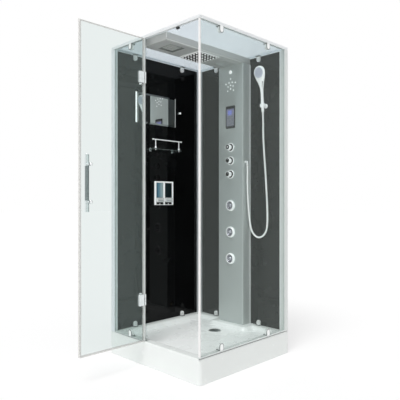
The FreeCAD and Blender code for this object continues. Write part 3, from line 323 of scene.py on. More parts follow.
def addPiece(name, shapes, finish, node="", body="cabin", sharp=38, flat=True):
    # Joins shapes into one mesh, gives it its finishes and lets it ride on a body, in the place
    # of a node. Where flat, large faces keep their own normals and the small ones beside bend.
    points, faces, signs, start = [], [], [], 0
    for shapePoints, shapeFaces, shapeSigns in shapes:
        points.append(shapePoints * mm)
        faces += [[k + start for k in face] for face in shapeFaces]
        signs += shapeSigns
        start += len(shapePoints)
    mesh = bpy.data.meshes.new(name)
    mesh.from_pydata(np.concatenate(points).tolist(), [], faces)
    for word in finish.split():
        mesh.materials.append(finishes[word])
    mesh.polygons.foreach_set("material_index", signs)
    mesh.shade_smooth()
    mesh.set_sharp_from_angle(angle=math.radians(sharp))
    mesh.polygons.foreach_set("use_smooth", [len(face) < 5 for face in faces])
    mesh.update()
    item = linked(name, mesh)
    if flat:
        item.modifiers.new("evenNormals", "WEIGHTED_NORMAL").keep_sharp = True
    if body:
        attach(item, body)
    if node:
        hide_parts(node)
    return item


def addPlate(name, node, axis, corner, edge, finish, body="cabin", marks=(0, 0), band=0):
    # A node that is one plate, with rounded corners and edges.
    shape = slab(*corners(node), axis, corner, edge, marks, band)
    addPiece(name, [shape], finish, node, body)


def paintNode(name, finish):
    # A CAD node that stays gets its finish in each of its material slots.
    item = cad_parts[name]
    if not item.material_slots:
        item.data.materials.append(finishes[finish])
    for place in item.material_slots:
        place.material = finishes[finish]


def newMaterial(name):
    finishes[name] = bpy.data.materials.new(name)
    finishes[name].use_nodes = True
    tree = finishes[name].node_tree
    return tree, tree.nodes["Principled BSDF"]


def showOn(tree, shader):
    tree.links.new(shader, tree.nodes["Material Output"].inputs["Surface"])


def alongAxis(tree, axis):
    # The shaded point's place along an axis, in metres.
    return add(tree, "SeparateXYZ", {0: add(tree, "TexCoord", {}, "Object")}, axis)


def noiseOn(tree, scale, stretch=(1, 1, 1), detail=4.0):
    # Noise on Object coordinates, squeezed along the axes by stretch.
    place = add(tree, "Mapping", {"Vector": add(tree, "TexCoord", {}, "Object"),
                                  "Scale": stretch})
    return add(tree, "TexNoise", {"Vector": place, "Scale": scale, "Detail": detail,
                                  "Roughness": 0.55}, "Fac")


def rangeOf(tree, value, low, high, fromLow=0.3, fromHigh=0.7):
    return add(tree, "MapRange", {"Value": value, "From Min": fromLow, "From Max": fromHigh,
                                  "To Min": low, "To Max": high})


def blendOf(tree, value, first, second):
    return add(tree, "Mix", {"Factor": value, "A": first, "B": second}, "Result",
               data_type="RGBA")


def surface(name, colour, roughness, metallic=0.0, grain=60, tone=0.05, spread=0.05, bump=0.02,
            bumpGrain=None, specular=0.5, stretch=(1, 1, 1)):
    # A painted, plated or moulded surface: noise shifts its colour and its roughness a
    # little, and a finer noise lifts the surface.
    tree, shader = newMaterial(name)
    value = noiseOn(tree, grain, stretch)
    dark = [channel * (1 - tone) for channel in colour]
    pale = [min(1, channel * (1 + tone)) for channel in colour]
    feed(tree, shader.inputs, {
        "Metallic": metallic,
        "Specular IOR Level": specular,
        "Base Color": blendOf(tree, rangeOf(tree, value, 0, 1), dark, pale),
        "Roughness": rangeOf(tree, value, max(0, roughness - spread), roughness + spread)})
    if bump:
        fine = noiseOn(tree, bumpGrain or grain * 4, stretch, 3)
        relief = add(tree, "Bump", {"Strength": bump, "Distance": 0.001, "Height": fine})
        tree.links.new(relief, shader.inputs["Normal"])
    return tree


def clearSheet(name, tint, shine, floor=0.0, haze=0.0, milk=(0.86, 0.90, 0.89)):
    # Thin clear glass or plastic: light goes straight through with a tint, and the first face
    # that it meets mirrors a share that grows at a flat angle. Haze adds a little matt film.
    tree, shader = newMaterial(name)
    tree.nodes.remove(shader)
    smear = rangeOf(tree, noiseOn(tree, 7, (1, 1, 0.4), 5), 0.0, 0.05)
    gloss = add(tree, "BsdfGlossy", {"Color": (0.86, 0.97, 0.92), "Roughness": smear})
    through = add(tree, "BsdfTransparent", {"Color": tint})
    edge = add(tree, "Fresnel", {"IOR": 1.45})
    share = maths(tree, "MULTIPLY_ADD", edge, shine, floor, clamp=True)
    entering = rangeOf(tree, add(tree, "NewGeometry", {}, "Backfacing"), 1, 0, 0, 1)
    last = mixed(tree, maths(tree, "MULTIPLY", share, entering), through, gloss)
    if haze:
        patch = rangeOf(tree, noiseOn(tree, 40), haze * 0.96, min(1, haze * 1.04))
        last = mixed(tree, patch, last, add(tree, "BsdfDiffuse", {"Color": milk}))
    showOn(tree, last)


def roofSheet(name, colour, tint, through):
    # White acrylic that lets daylight in: a share of clear tinted sheet in a glossy white one.
    tree, shader = newMaterial(name)
    value = rangeOf(tree, noiseOn(tree, 5), 0, 1)
    patchy = blendOf(tree, value, [channel * 0.96 for channel in colour], colour)
    feed(tree, shader.inputs, {"Base Color": patchy, "Roughness": 0.12})
    clear = add(tree, "BsdfTransparent", {"Color": tint})
    showOn(tree, mixed(tree, through, shader.outputs[0], clear))


def edgeHighlightPaint(name, colour, pale, start, end):
    # Metallic paint that grows paler towards both upright edges, with the distance from x = 0:
    # a painted highlight on the edges.
    tree = surface(name, colour, 0.34, 0.20, 900, 0.06, 0.05, 0.05, 500)
    socket = tree.nodes["Principled BSDF"].inputs["Base Color"]
    away = maths(tree, "ABSOLUTE", alongAxis(tree, "X"))
    edgeHighlight = rangeOf(tree, away, 0, 1, start, end)
    tree.links.new(blendOf(tree, edgeHighlight, socket.links[0].from_socket, pale), socket)


def rampOf(tree, value, stops):
    # Colours at places from 0 to 1.
    node = add(tree, "ValToRGB", {0: value}).node
    ramp = node.color_ramp.elements
    for end in (0, -1):
        ramp[end].position, ramp[end].color = stops[end][0], (*stops[end][1], 1)
    for place, colour in stops[1:-1]:
        ramp.new(place).color = (*colour, 1)
    return node.outputs["Color"]


def shadedWindow(name, node, colours, coat=0.6, specular=0.5):
    # Tinted plastic whose colour runs through a ramp along y, as wide as a node, pushed about
    # by upright streaks.
    tree, shader = newMaterial(name)
    low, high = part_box(node)
    along = rangeOf(tree, alongAxis(tree, "Y"), 0, 1, low[1], high[1])
    streak = rangeOf(tree, noiseOn(tree, 160, (1, 1, 0.02), 2), -0.16, 0.16)
    stops = list(zip(np.linspace(0, 1, len(colours)), colours))
    feed(tree, shader.inputs, {
        "Base Color": rampOf(tree, maths(tree, "ADD", along, streak), stops),
        "Roughness": 0.12, "Coat Weight": coat, "Coat Roughness": 0.05,
        "Specular IOR Level": specular})


display = {
    "glow": (0.22, 0.23, 0.36),
    "fade": (0.17, 0.18, 0.22),
    "black": (0.01, 0.01, 0.012),
    "patch": (0.20, 0.24, 0.72),
    "across": (-0.024, 0.016),       # the patch from left to right, in metres
    "up": (0.56, 0.86),              # and from bottom to top, as shares of the screen's height
    "soft": 0.004,
    "strength": 0.75,
}


def displayFace():
    # The control panel's picture, made from height alone and one patch: black bands at top
    # and bottom, a lilac field between them that fades downwards, and a brighter blue window.
    tree, shader = newMaterial("controlDisplay")
    low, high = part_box("control_screen")
    height = rangeOf(tree, alongAxis(tree, "Z"), 0, 1, low[2], high[2])
    glow, fade, black = display["glow"], display["fade"], display["black"]
    bands = rampOf(tree, height, [
        (0.0, black), (0.05, black), (0.08, fade), (0.5, fade), (0.75, glow),
        (0.89, [channel * 0.8 for channel in glow]), (0.92, black), (1.0, black)])
    (left, right), (bottom, top), soft = display["across"], display["up"], display["soft"]
    across = alongAxis(tree, "X")
    product = rangeOf(tree, across, 0, 1, left, left + soft)
    for factor in (rangeOf(tree, across, 1, 0, right - soft, right),
                   rangeOf(tree, height, 0, 1, bottom, bottom + 0.1),
                   rangeOf(tree, height, 1, 0, top - 0.06, top)):
        product = maths(tree, "MULTIPLY", product, factor)
    feed(tree, shader.inputs, {
        "Emission Color": blendOf(tree, product, bands, display["patch"]),
        "Emission Strength": display["strength"], "Base Color": black, "Roughness": 0.08})


upright = (1, 1, 0.03)               # grain drawn out along z
# Colour, roughness, metal, grain, tone, spread, bump, its grain, specular share and stretch
opaque = {
    "trayAcrylic": ((0.825, 0.850, 0.836), 0.26, 0, 9, 0.005, 0.02, 0.03, 220, 0.3),
    "trayFloor": ((0.825, 0.850, 0.840), 0.28, 0, 9, 0.005, 0.02, 0.03, 220, 0.3),
    "satinAluminium": ((0.80, 0.83, 0.85), 0.30, 0.30, 90, 0.02, 0.07, 0.03, 360, 0.5, upright),
    "postAluminium": ((0.74, 0.765, 0.755), 0.34, 0.2, 90, 0.02, 0.07, 0.03, 360, 0.5, upright),
    "railAluminium": ((0.83, 0.855, 0.865), 0.34, 0.15, 60, 0.012, 0.07, 0.02),
    "housingPaint": ((0.52, 0.535, 0.525), 0.38, 0.15, 900, 0.06, 0.05, 0.05, 500),
    # trimPaint: on the housing's edge tubes it is a painted highlight; it also paints the mirror's
    # narrow side bar.
    "trimPaint": ((0.74, 0.76, 0.75), 0.30, 0.10, 60, 0.02, 0.05, 0),
    "polishedChrome": ((0.84, 0.86, 0.87), 0.09, 1, 45, 0.03, 0.035, 0.015, 160),
    "pearlChrome": ((0.86, 0.88, 0.875), 0.20, 0.35, 60, 0.03, 0.05, 0.015, 160),
    "jetPearl": ((0.50, 0.50, 0.55), 0.26, 0.60, 60, 0.04, 0.05, 0.02, 160),
    "satinSteel": ((0.30, 0.325, 0.33), 0.34, 0.9, 120, 0.08, 0.05, 0.03, 480, 0.5,
                   (1, 1, 0.04)),
    "galvanised": ((0.50, 0.53, 0.54), 0.42, 0.8, 45, 0.16, 0.10, 0.06),
    "brassTube": ((0.60, 0.44, 0.19), 0.28, 1, 70, 0.10, 0.05, 0.04),
    "blackGlass": ((0.0045, 0.0048, 0.005), 0.03, 0, 6, 0.2, 0.02, 0.004, 3, 0.15),
    "blackPlastic": ((0.016, 0.016, 0.017), 0.45, 0, 400, 0.2, 0.05, 0.12),
    "fieldBlack": ((0.004, 0.004, 0.004), 0.60, 0, 400, 0.2, 0.05, 0.05, 1600, 0.08),
    "greyPlastic": ((0.15, 0.16, 0.16), 0.35, 0, 400, 0.08, 0.05, 0.08),
    "grilleGrey": ((0.40, 0.42, 0.41), 0.38, 0, 400, 0.06, 0.05, 0.08),
    "recessGrey": ((0.24, 0.26, 0.245), 0.36, 0, 300, 0.05, 0.05, 0.05),
    "lensGrey": ((0.46, 0.48, 0.46), 0.28, 0, 220, 0.04, 0.05, 0.04),
    "trapPlastic": ((0.70, 0.71, 0.70), 0.38, 0, 300, 0.03, 0.05, 0.06),
    "whiteDiffuser": ((0.84, 0.86, 0.86), 0.30, 0, 200, 0.02, 0.05, 0.03),
    "dotWhite": ((0.88, 0.90, 0.90), 0.20, 0, 200, 0.02, 0.05, 0),
    "barWhite": ((0.90, 0.92, 0.92), 0.20, 0, 200, 0.02),
    "sparkle": ((0.92, 0.94, 0.94), 0.14, 0.2, 60, 0.03, 0.05, 0.01),
    "darkRubber": ((0.045, 0.05, 0.05), 0.5, 0, 260, 0.2, 0.05, 0.1),
    "hoseSleeve": ((0.93, 0.94, 0.93), 0.26, 0, 500, 0.03, 0.05, 0.03),
    "sprayRubber": ((0.56, 0.59, 0.70), 0.40, 0, 160, 0.14, 0.05, 0.05),
    "mirrorSilver": ((0.78, 0.80, 0.795), 0.012, 1, 8, 0.01, 0.008, 0),
    "mirrorBevel": ((0.50, 0.52, 0.52), 0.05, 1, 30, 0.03, 0.05, 0.01),
    "darkChrome": ((0.010, 0.011, 0.011), 0.30, 0, 60, 0.1, 0.05, 0.02, 240, 0.15),
    "leverChrome": ((0.88, 0.90, 0.90), 0.14, 0.5, 70, 0.10, 0.06, 0.25, 110),
}
# Tint, mirrored share, least share, haze and the haze's colour
clear = {
    "sealClear": ((0.93, 0.92, 0.91), 1.0, 0.02, 0.30, (0.90, 0.895, 0.89)),
    "sealMilk": ((0.88, 0.89, 0.88), 1.6, 0.05, 0.74),
    "sealWarm": ((0.90, 0.88, 0.87), 1.2, 0.03, 0.94, (0.95, 0.94, 0.935)),
    "jambWarm": ((0.90, 0.88, 0.87), 1.2, 0.03, 0.94, (0.90, 0.89, 0.88)),
    "paneGlass": ((0.945, 0.962, 0.958), 0.70, 0, 0.016, (0.78, 0.84, 0.80)),
    "doorGlass": ((0.903, 0.930, 0.925), 0.42, 0, 0.004, (0.60, 0.80, 0.95)),
    "clearLip": ((0.93, 0.94, 0.94), 0.30),
    "shelfGlass": ((0.70, 0.76, 0.76), 0.60),
    "shelfEdge": ((0.50, 0.58, 0.57), 0.80, 0.04, 0.08),
    "paneEdge": ((0.62, 0.70, 0.69), 1.2, 0.10, 0.45),
    "doorEdge": ((0.80, 0.80, 0.79), 0.9, 0.03, 0.26, (0.74, 0.735, 0.73)),
}
windows = {"teal": [(0.035, 0.10, 0.17), (0.10, 0.26, 0.36), (0.30, 0.44, 0.48),
                    (0.50, 0.58, 0.58)],
           "smoke": [(0.012, 0.025, 0.028), (0.003, 0.012, 0.015), (0.003, 0.008, 0.010)]}
# Painted light: these finishes emit a little though their parts are no lamps (dotWhite also covers
# the column lamp's lens), so they read brighter than their lighting makes them; on trayFloor it
# lifts the basin floor out of the shade that the walls cast.
paintedGlow = {"dotWhite": 0.45, "barWhite": 0.85, "sparkle": 0.22, "trayFloor": 0.08,
         "pearlChrome": 0.08, "hoseSleeve": 0.10}


def makeFinishes():
    for name, values in opaque.items():
        surface(name, *values)
    for name, values in clear.items():
        clearSheet(name, *values)
    # Painted light: emission on finishes whose parts are no lamps.
    for name, glow in paintedGlow.items():
        tree = finishes[name].node_tree
        feed(tree, tree.nodes["Principled BSDF"].inputs,
             {"Emission Color": white, "Emission Strength": glow})
    # The column's paint grows paler at its upright edges: a painted highlight on its bevels.
    edgeHighlightPaint("columnPaint", (0.52, 0.565, 0.555), (0.575, 0.615, 0.605), 0.108, 0.124)
    roofSheet("roofAcrylic", (0.80, 0.84, 0.87), (0.93, 0.97, 1.0), 0.74)
    shadedWindow("tealWindow", "front_soap_lever", windows["teal"])
    shadedWindow("smokeWindow", "rear_soap_lever", windows["smoke"], 0, 0.15)
    displayFace()


makeFinishes()
print("finishes are in")

hose = {
    "radius": 7,
    "ridge": 0.35,
    "pitch": 3.2,
    "route": [                       # from the handset's nut down and up to the outlet's
        (270, 391.35, 1752.12), (270, 393.58, 1720.19), (261.1, 407, 1668), (258.6, 410, 1580),
        (267.5, 411, 1442), (280.2, 411, 1292), (290.3, 410, 1155), (297.9, 409, 1030),
        (301.1, 407, 932), (291, 405, 868), (253.5, 401, 825), (205.2, 397, 823),
        (165.9, 392, 862), (151.9, 387, 925), (146.2, 381, 1008), (141.7, 374, 1115),
        (141.1, 370, 1225), (143, 368, 1312), (143, 368, 1362)],
}


def hosePath():
    # The smooth line of a spline whose control points are the hose's route.
    data = bpy.data.curves.new("hoseLine", "CURVE")
    data.dimensions = "3D"
    data.resolution_u = 40
    line = data.splines.new("NURBS")
    spots = np.insert(np.array(hose["route"]) * mm, 3, 1, 1)
    line.points.add(len(spots) - 1)
    line.points.foreach_set("co", spots.ravel())
    line.order_u = 3
    line.use_endpoint_u = True
    item = bpy.data.objects.new("hoseLine", data)
    mesh = bpy.data.meshes.new_from_object(item)
    path = np.empty(len(mesh.vertices) * 3)
    mesh.vertices.foreach_get("co", path)
    bpy.data.meshes.remove(mesh)
    bpy.data.objects.remove(item)
    bpy.data.curves.remove(data)
    return path.reshape(-1, 3) / mm


def makeHose():
    # A tube along the line whose radius swings with the distance s along it, in rings:
    # r - ridge (0.5 + 0.5 cos(2 pi s / pitch)).
    path, pitch = hosePath(), hose["pitch"]
    gone = np.concatenate([[0], np.cumsum(np.linalg.norm(np.diff(path, axis=0), axis=1))])
    length = gone[-1]
    even = np.arange(0, length, pitch / 4)
    fine = np.stack([np.interp(even, gone, path[:, k]) for k in range(3)], -1)
    fine = np.concatenate([fine, path[-1:]])
    wave = 0.5 + 0.5 * np.cos(2 * math.pi * np.append(even, length) / pitch)
    sleeve = tube(fine, hose["radius"] - hose["ridge"] * wave)
    item = addPiece("shower_hose_sleeve", [sleeve], "hoseSleeve", "shower_hose",
                    None, 70, False)
    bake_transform(item)
    print("hose", round(length * mm, 3), "m")


tray = {
    "lines": 184,
    "rimRound": 7,
    "plainCorner": 4,
    "frontCorner": 24,
    "rim": 58,
    "basinCorner": 60,
    "slope": 30,
    "depth": 30,
    "podium": (168, 300),            # half its width, and the y at which it starts
    "podiumCorner": 30,
    "meeting": 6,                    # basin and podium meet along a soft corner
    "drain": (0, 160),
    "hole": 38,
    "skirt": 6,
    "thick": 48,
}


def boxDistance(x, y, halfX, halfY, corner):
    # Signed distance to a rounded rectangle: the length outside less the corner radius.
    dx, dy = np.abs(x) - halfX + corner, np.abs(y) - halfY + corner
    outside = np.hypot(np.maximum(dx, 0), np.maximum(dy, 0))
    return outside + np.minimum(np.maximum(dx, dy), 0) - corner


def makeTray():
    # A height over a square grid. z is the rim's height, less a quarter round at the outer
    # edge, less the depth times a smooth step of the distance inside the basin's outline.
    low, high = corners("shower_tray")
    half, count = high[0], tray["lines"]
    t = np.linspace(-1, 1, count)
    lines = half * (0.62 * t + 0.38 * np.sin(math.pi / 2 * t))    # closer at the edges
    x, y = np.meshgrid(lines, lines, indexing="ij")
    edge = half - np.maximum(np.abs(x), np.abs(y))
    corner = np.where((x > 0) & (y < 0), tray["frontCorner"], tray["plainCorner"])
    cx, cy = np.sign(x) * (half - corner), np.sign(y) * (half - corner)
    ox, oy = x - cx, y - cy
    inCorner = (np.abs(x) > half - corner) & (np.abs(y) > half - corner)
    shrink = np.maximum(np.abs(ox), np.abs(oy)) / np.maximum(np.hypot(ox, oy), 1e-6)
    px, py = np.where(inCorner, cx + ox * shrink, x), np.where(inCorner, cy + oy * shrink, y)

    r = tray["rimRound"]
    lift = r - np.sqrt(np.maximum(r ** 2 - np.maximum(r - edge, 0) ** 2, 0))
    basinHalf = half - tray["rim"]
    basin = boxDistance(px, py, basinHalf, basinHalf, tray["basinCorner"])
    (wide, start), back, k = tray["podium"], 600, tray["meeting"]
    podium = boxDistance(px, py - back, wide, back - start, tray["podiumCorner"])
    blend = np.maximum(k - np.abs(basin + podium), 0) / k
    inside = -(np.maximum(basin, -podium) + blend ** 2 * k / 4)
    step = np.clip(inside / tray["slope"], 0, 1)
    deep = (step[:-1, :-1] + step[1:, 1:]) / 2 > 0.25
    z = high[2] - lift - tray["depth"] * (step ** 2 * (3 - 2 * step))

    drain = np.array(tray["drain"])
    across = np.hypot(px - drain[0], py - drain[1])
    cell = (across[:-1, :-1] + across[1:, 1:] + across[1:, :-1] + across[:-1, 1:]) / 4
    keep = cell > tray["hole"]
    near = np.minimum(y - low[1], half - x)
    under = np.where(near < tray["skirt"], low[2], high[2] - tray["thick"])

    index = np.arange(count * count).reshape(count, count)
    top = np.stack([index[:-1, :-1], index[1:, :-1], index[1:, 1:], index[:-1, 1:]], -1)[keep]
    sides = np.concatenate([top[:, [k, (k + 1) % 4]] for k in range(4)])
    times, inverse = np.unique(np.sort(sides, 1), axis=0, return_inverse=True,
                               return_counts=True)[2:0:-1]
    border = sides[times[inverse.ravel()] == 1]
    onHole = np.unique(border[(across.ravel()[border] < 100).all(1)])
    spots = np.stack([px.ravel(), py.ravel()], -1)
    away = spots[onHole] - drain
    spots[onHole] = drain + away * (tray["hole"] / np.hypot(*away.T))[:, None]
    points = np.concatenate([np.column_stack([spots, heights.ravel()]) for heights in (z, under)])
    down = count * count
    wall = np.column_stack([border[:, 1], border[:, 0], border[:, 0] + down, border[:, 1] + down])
    faces = np.concatenate([top, top[:, ::-1] + down, wall])
    used = np.unique(faces)
    renumber = np.full(len(points), -1)
    renumber[used] = np.arange(len(used))
    # The basin's faces take trayFloor, whose small glow is painted light against the shade that the
    # walls cast on the floor.
    signs = deep[keep].astype(int).tolist()
    shape = points[used], renumber[faces].tolist(), signs + [0] * (len(faces) - len(signs))
    addPiece("tray_shell", [shape], "trayAcrylic trayFloor", "shower_tray", sharp=50)


feet = {"spots": [(0, 0), (-300, -320), (-300, 320), (300, -320), (300, 320)], "pitch": 1.75}


def makeBase():
    # Feet: a rubber pad, a lock nut and a rod whose radius zigzags with height as a thread.
    top, pitch = corners("base_frame")[0][2], feet["pitch"]
    thread = [pair for z in np.arange(22, top - 2, pitch)
              for pair in ((5.2, z), (6, z + pitch / 2))]
    pad = [(1, 0), (28, 0), (28, 7), (20, 12), (2, 12)]
    rod = [(1, 12), (9, 12), (9, 20), (6, 20.5), *thread, (6, top), (1, top)]
    addPiece("foot_pads", [turned(pad, (x, y, 0), soft=1.5, steps=40) for x, y in feet["spots"]],
             "darkRubber")
    addPiece("foot_rods", [turned(rod, (x, y, 0), soft=0, steps=24) for x, y in feet["spots"]],
             "galvanised", "levelling_feet")
    paintNode("base_frame", "galvanised")


def makeDrain():
    # A domed cover with a ring groove, a rubbed rim and rings of black discs that stand for
    # holes: painted shade of the holes' insides.
    low, high = corners("drain_cover")
    x, y = tray["drain"]
    z = high[2] - 4
    foot = low[2] - z
    dome = [(1, 3.9), (12, 3.7), (26, 3.2), (30, 2.9), (31, 2.3), (33, 2.3), (34, 2.7), (42, 1.8),
            (43.8, 0.4), (43.5, 0), (36, 0), (36, foot), (34, foot), (34, 0), (1, 0)]
    shapes = [turned(dome, (x, y, z), steps=64, soft=0.5)]
    # Black discs for the holes: painted shade of their insides.
    for turn in np.arange(12) * math.pi / 6:
        for reach in (14, 22):
            spot = (x + reach * math.cos(turn), y + reach * math.sin(turn), z + 3.25)
            shapes.append(marked(turned(drum(0.1, 2.2, 0, 0.6), spot, steps=12, soft=0), 1))
    addPiece("drain_cover_dome", shapes, "satinSteel blackPlastic", "drain_cover",
             "drain_lid")
    paintNode("drain_trap", "trapPlastic")


posts = {
    "front_post_profile": ("left_front_post", "satinAluminium",
                           [(0, 8, 2, 2), (3, 12, 2.5, 3), (3, 30, 6, 1.5)]),
    "corner_post_profile": ("rear_corner_post", "satinAluminium",
                            [(0, 14, 2, 2), (3, 38, 2, 2)]),
    "rear_post_profile": ("right_rear_post", "postAluminium",
                          [(0, 9, 2.5, 3), (0, 31, 2, 2), (3, 25, 9, 2.5)]),
}


def makePosts():
    for name, (node, finish, grooves) in posts.items():
        low, high = corners(node)
        addPiece(name, [groovedBox(low, high, grooves)], finish, node, sharp=30)
    bead = slab(low + (-1, -2, 1), (low[0] + 8, low[1], high[2] - 1), 1, 1, 0.8)
    addPiece("rear_post_bead", [bead], "whiteDiffuser")


def makeRails():
    # A rail profile of inset and height carried round the square with mitred corners.
    low, high = corners("head_rails")
    bottom, top, wide, side = low[2], high[2], 22, 2 * high[0]
    profile = softened([(0, bottom), (0, bottom + 6), (1.5, bottom + 6.5), (1.5, bottom + 8.5),
                        (0, bottom + 9), (0, top), (wide, top), (wide, bottom), (0.5, bottom)],
                       0.8)
    rings = ringsOf(roundedRectangle(side, side, 3, 0, 4), 2, (0, 0, 0), profile)
    addPiece("head_rail_profile", [shell(rings, closed=True)], "railAluminium",
             "head_rails", sharp=30)
    addPlate("roof_sheet", "roof_panel", 2, 4, 1, "roofAcrylic")


panes = {"corner": 1.5, "edge": 0.8, "sillWide": 12, "bead": 2.5}


def makeWalls():
    corner, edge = panes["corner"], panes["edge"]
    addPlate("left_wall_sheet", "left_wall_glass", 0, corner, edge, "blackGlass")
    low, high = corners("rear_wall_glass")
    plate = corners("column_back_plate")
    sheets = [slab(low, (plate[0][0], *high[1:]), 1, corner, edge),
              slab((plate[1][0], *low[1:]), high, 1, corner, edge)]
    addPiece("rear_wall_sheets", sheets, "blackGlass", "rear_wall_glass")


def makePanes():
    for name, node, axis, band in (("front_pane_sheet", "front_fixed_pane", 1, 2),
                                   ("right_pane_sheet", "right_fixed_pane", 0, 0)):
        addPlate(name, node, axis, panes["corner"], panes["edge"], "paneGlass paneEdge",
                 marks=(0, 1), band=band)
    low, high = corners("pane_sills")
    left, right = corners("front_fixed_pane")
    post = corners("right_rear_post")[0]
    wide, bead = panes["sillWide"], panes["bead"]
    rise = low[2] + bead
    sills = [slab((left[0], low[1], rise), (right[0], low[1] + wide, left[2]), 2),
             slab((high[0] - wide, low[1], rise), (high[0], post[1], high[2]), 2)]
    edgeRuns = [slab((left[0], low[1], low[2]), (right[0], low[1] + wide, rise), 2),
             slab((high[0] - wide, low[1], low[2]), (high[0], high[1] + 40, rise), 2)]
    addPiece("sill_strips", sills, "sealMilk", "pane_sills")
    addPiece("sill_beads", edgeRuns, "darkRubber")


seals = {
    "hinges": [(402.5, 477.5), (1878.5, 1953.5)],    # from bottom to top
    "gap": 0.5,
    "jamb": (-449, -437),            # its faces along y
    "jambEnd": -73,                  # along x
    "lip": (-56.5, -439.5),          # its end along x and its outer face along y
}


def stretches(low, high):
    # The heights that the two hinges leave free, from bottom to top.
    gap = seals["gap"]
    (a, b), (c, d) = seals["hinges"]
    return [(low, a - gap), (b + gap, c - gap), (d + gap, high)]


def makePaneSeals():
    # A square clear strip with a groove at the corner, and the front pane's jamb strip: clear
    # legs that grip the pane, a milky core and a clear lip that the door closes on.
    low, high = corners("pane_seals")
    pane = corners("right_fixed_pane")[0]
    square = groovedBox((pane[0] - 4, low[1] + 0.5, pane[2]), (high[0], pane[1], high[2]),
                        [(0, 6, 1.2, 1), (3, 6, 1.2, 1)], 2)
    start, end = corners("front_fixed_pane")[1][0], seals["jambEnd"]
    (outside, inside), (lipEnd, lipFace) = seals["jamb"], seals["lip"]
    strips = []
    for z0, z1 in stretches(low[2] - 5, high[2]):
        strips += [marked(slab((start, outside, z0), (start + 6, inside, z1), 1, 1), 1),
                   groovedBox((start + 6, outside, z0), (end, inside, z1), [(3, 16, 1.2, 1)], 2),
                   marked(slab((end, lipFace, z0), (lipEnd, inside, z1), 1, 0.5, 0.5), 1)]
    addPiece("corner_strip", [square], "sealWarm", "pane_seals", sharp=30)
    addPiece("jamb_strip", strips, "jambWarm clearLip", sharp=30)


clips = {
    "wide": 30,
    "tall": 40,
    "deep": 15,
    "thin": 3,                       # the tab outside the glass
    "edge": 1.6,
    "sides": (-255, 221),            # along y
    "rear": (-230.5, 206.5),         # along x
    "front": -229,
    "foot": (38, 25, 5),
    "gasketShade": 3.5,
}


def clipOn(axis, along, z, near, far, up, screw):
    # A half-round tab carried through its depth, with a cap screw in a sunk ring.
    # screw is the face that carries it, -1 or 1 along the axis, or 0 for none: then a dark
    # rubber gasket stands out round the tab, and it also serves as painted shade round the tab's
    # edge.
    def tab(grown):
        return lambda inset: archOutline(clips["wide"], clips["tall"], inset - grown) * (1, up)
    origin = np.array([along, along, z], float)
    shapes = [carried(tab(0), axis, origin, near, far, clips["edge"])]
    if not screw:
        # The dark gasket is a rubber gasket and also painted shade round the tab's edge.
        gasketShade = carried(tab(clips["gasketShade"]), axis, origin, near + 0.5, far - 1.5, 0.3)
        return shapes + [marked(gasketShade, 2)]
    origin[axis] = far if screw > 0 else near
    origin[2] += up * (clips["tall"] - clips["wide"] / 2 - 2)
    direction = np.eye(3)[axis] * screw
    cap = [(0.5, 0), (6.2, 0), (6, 0.35), (3, 0.45), (2.8, 0.2), (0.5, 0.2)]
    return shapes + [marked(turned(drum(0.5, 8.5, -1, 0.15), origin, direction, 24, 0), 1),
                     turned(cap, origin, direction, 24, 0.1)]


def footPlate(axis, along, wall, into, z, up):
    # A flat grey plate that holds a clip to the rail or the tray, reaching into the cabin.
    long, wide, thick = clips["foot"]
    ends = np.zeros((2, 3))
    ends[:, 1 - axis] = along - long / 2, along + long / 2
    ends[:, axis] = sorted((wall, wall + into * wide))
    ends[:, 2] = sorted((z, z + up * thick))
    return marked(slab(*ends, 2, 4, 0.8), 1)


def makeClips():
    wall, rear = corners("left_wall_glass")[1][0], corners("rear_wall_glass")[0][1]
    rightIn, rightOut = (corner[0] for corner in corners("right_fixed_pane"))
    frontOut, frontIn = (corner[1] for corner in corners("front_fixed_pane"))
    foot, top = corners("shower_tray")[1][2], corners("head_rails")[0][2]
    inner = corners("head_rails")[1][0] - 22
    deep, thin = clips["deep"], clips["thin"]
    shapes = []
    for z, up, lift in ((foot, 1, 12), (top, -1, 0)):
        atTop = up < 0
        for along in clips["sides"]:
            shapes += clipOn(0, along, z, wall, wall + deep, up, 1)
            shapes += clipOn(0, along, z + lift, rightIn - deep, rightIn, up, -1)
            shapes += clipOn(0, along, z + lift, rightOut, rightOut + thin, up, 0)
            shapes.append(footPlate(0, along, -inner if atTop else wall, 1, z + atTop, 1))
            shapes.append(footPlate(0, along, rightIn, -1, z + lift, up))
        for along in clips["rear"]:
            shapes += clipOn(1, along, z, rear - deep, rear, up, -1)
            shapes.append(footPlate(1, along, inner if atTop else rear, -1, z + atTop, 1))
    along = clips["front"]
    for z, up in ((foot + 6, 1), (top, -1)):
        shapes += clipOn(1, along, z, frontIn, frontIn + deep, up, 1)
        shapes += clipOn(1, along, z, frontOut - thin, frontOut, up, 0)
        shapes.append(footPlate(1, along, frontIn, 1, z, up))
    addPiece("glass_clip_set", shapes, "pearlChrome greyPlastic blackPlastic",
             "glass_clips")
    addPlate("door_stop_block", "door_stop", 2, 3, 1, "blackPlastic")


door = {
    "axis": (-68, -444),
    "plate": (8.5, 46),              # the hinge plates' distance from the axis, and width
    "blockFrom": -95,
    "gripRadius": 13,
    "gripPosts": 114.5,              # the standoffs' distance from the handle's middle
}


def makeDoor():
    addPlate("door_sheet", "door_glass", 0, 2, 0.8, "doorGlass doorEdge", "door",
             (0, 1), 8)
    low, high = corners("door_glass")
    ends = corners("door_seals")[0]
    x, y = door["axis"]
    magnet = groovedBox((x - 5, ends[1], low[2]), (x + 5, low[1], high[2]),
                        [(0, 5, 1.2, 1), (2, 5, 1.2, 1)], 2)
    strips = [marked(groovedBox((x - 3.5, y - 14, z0), (x + 3.5, y - 4, z1), [(0, 5, 1, 0.8)]), 1)
              for z0, z1 in stretches(low[2], high[2])]
    sweep = slab((x - 3, low[1], ends[2]), (x + 3, high[1], low[2]), 2, 0.5, 0.8)
    addPiece("door_edge_seals", [magnet, sweep] + strips, "sealClear sealMilk",
             "door_seals", "door", 30)


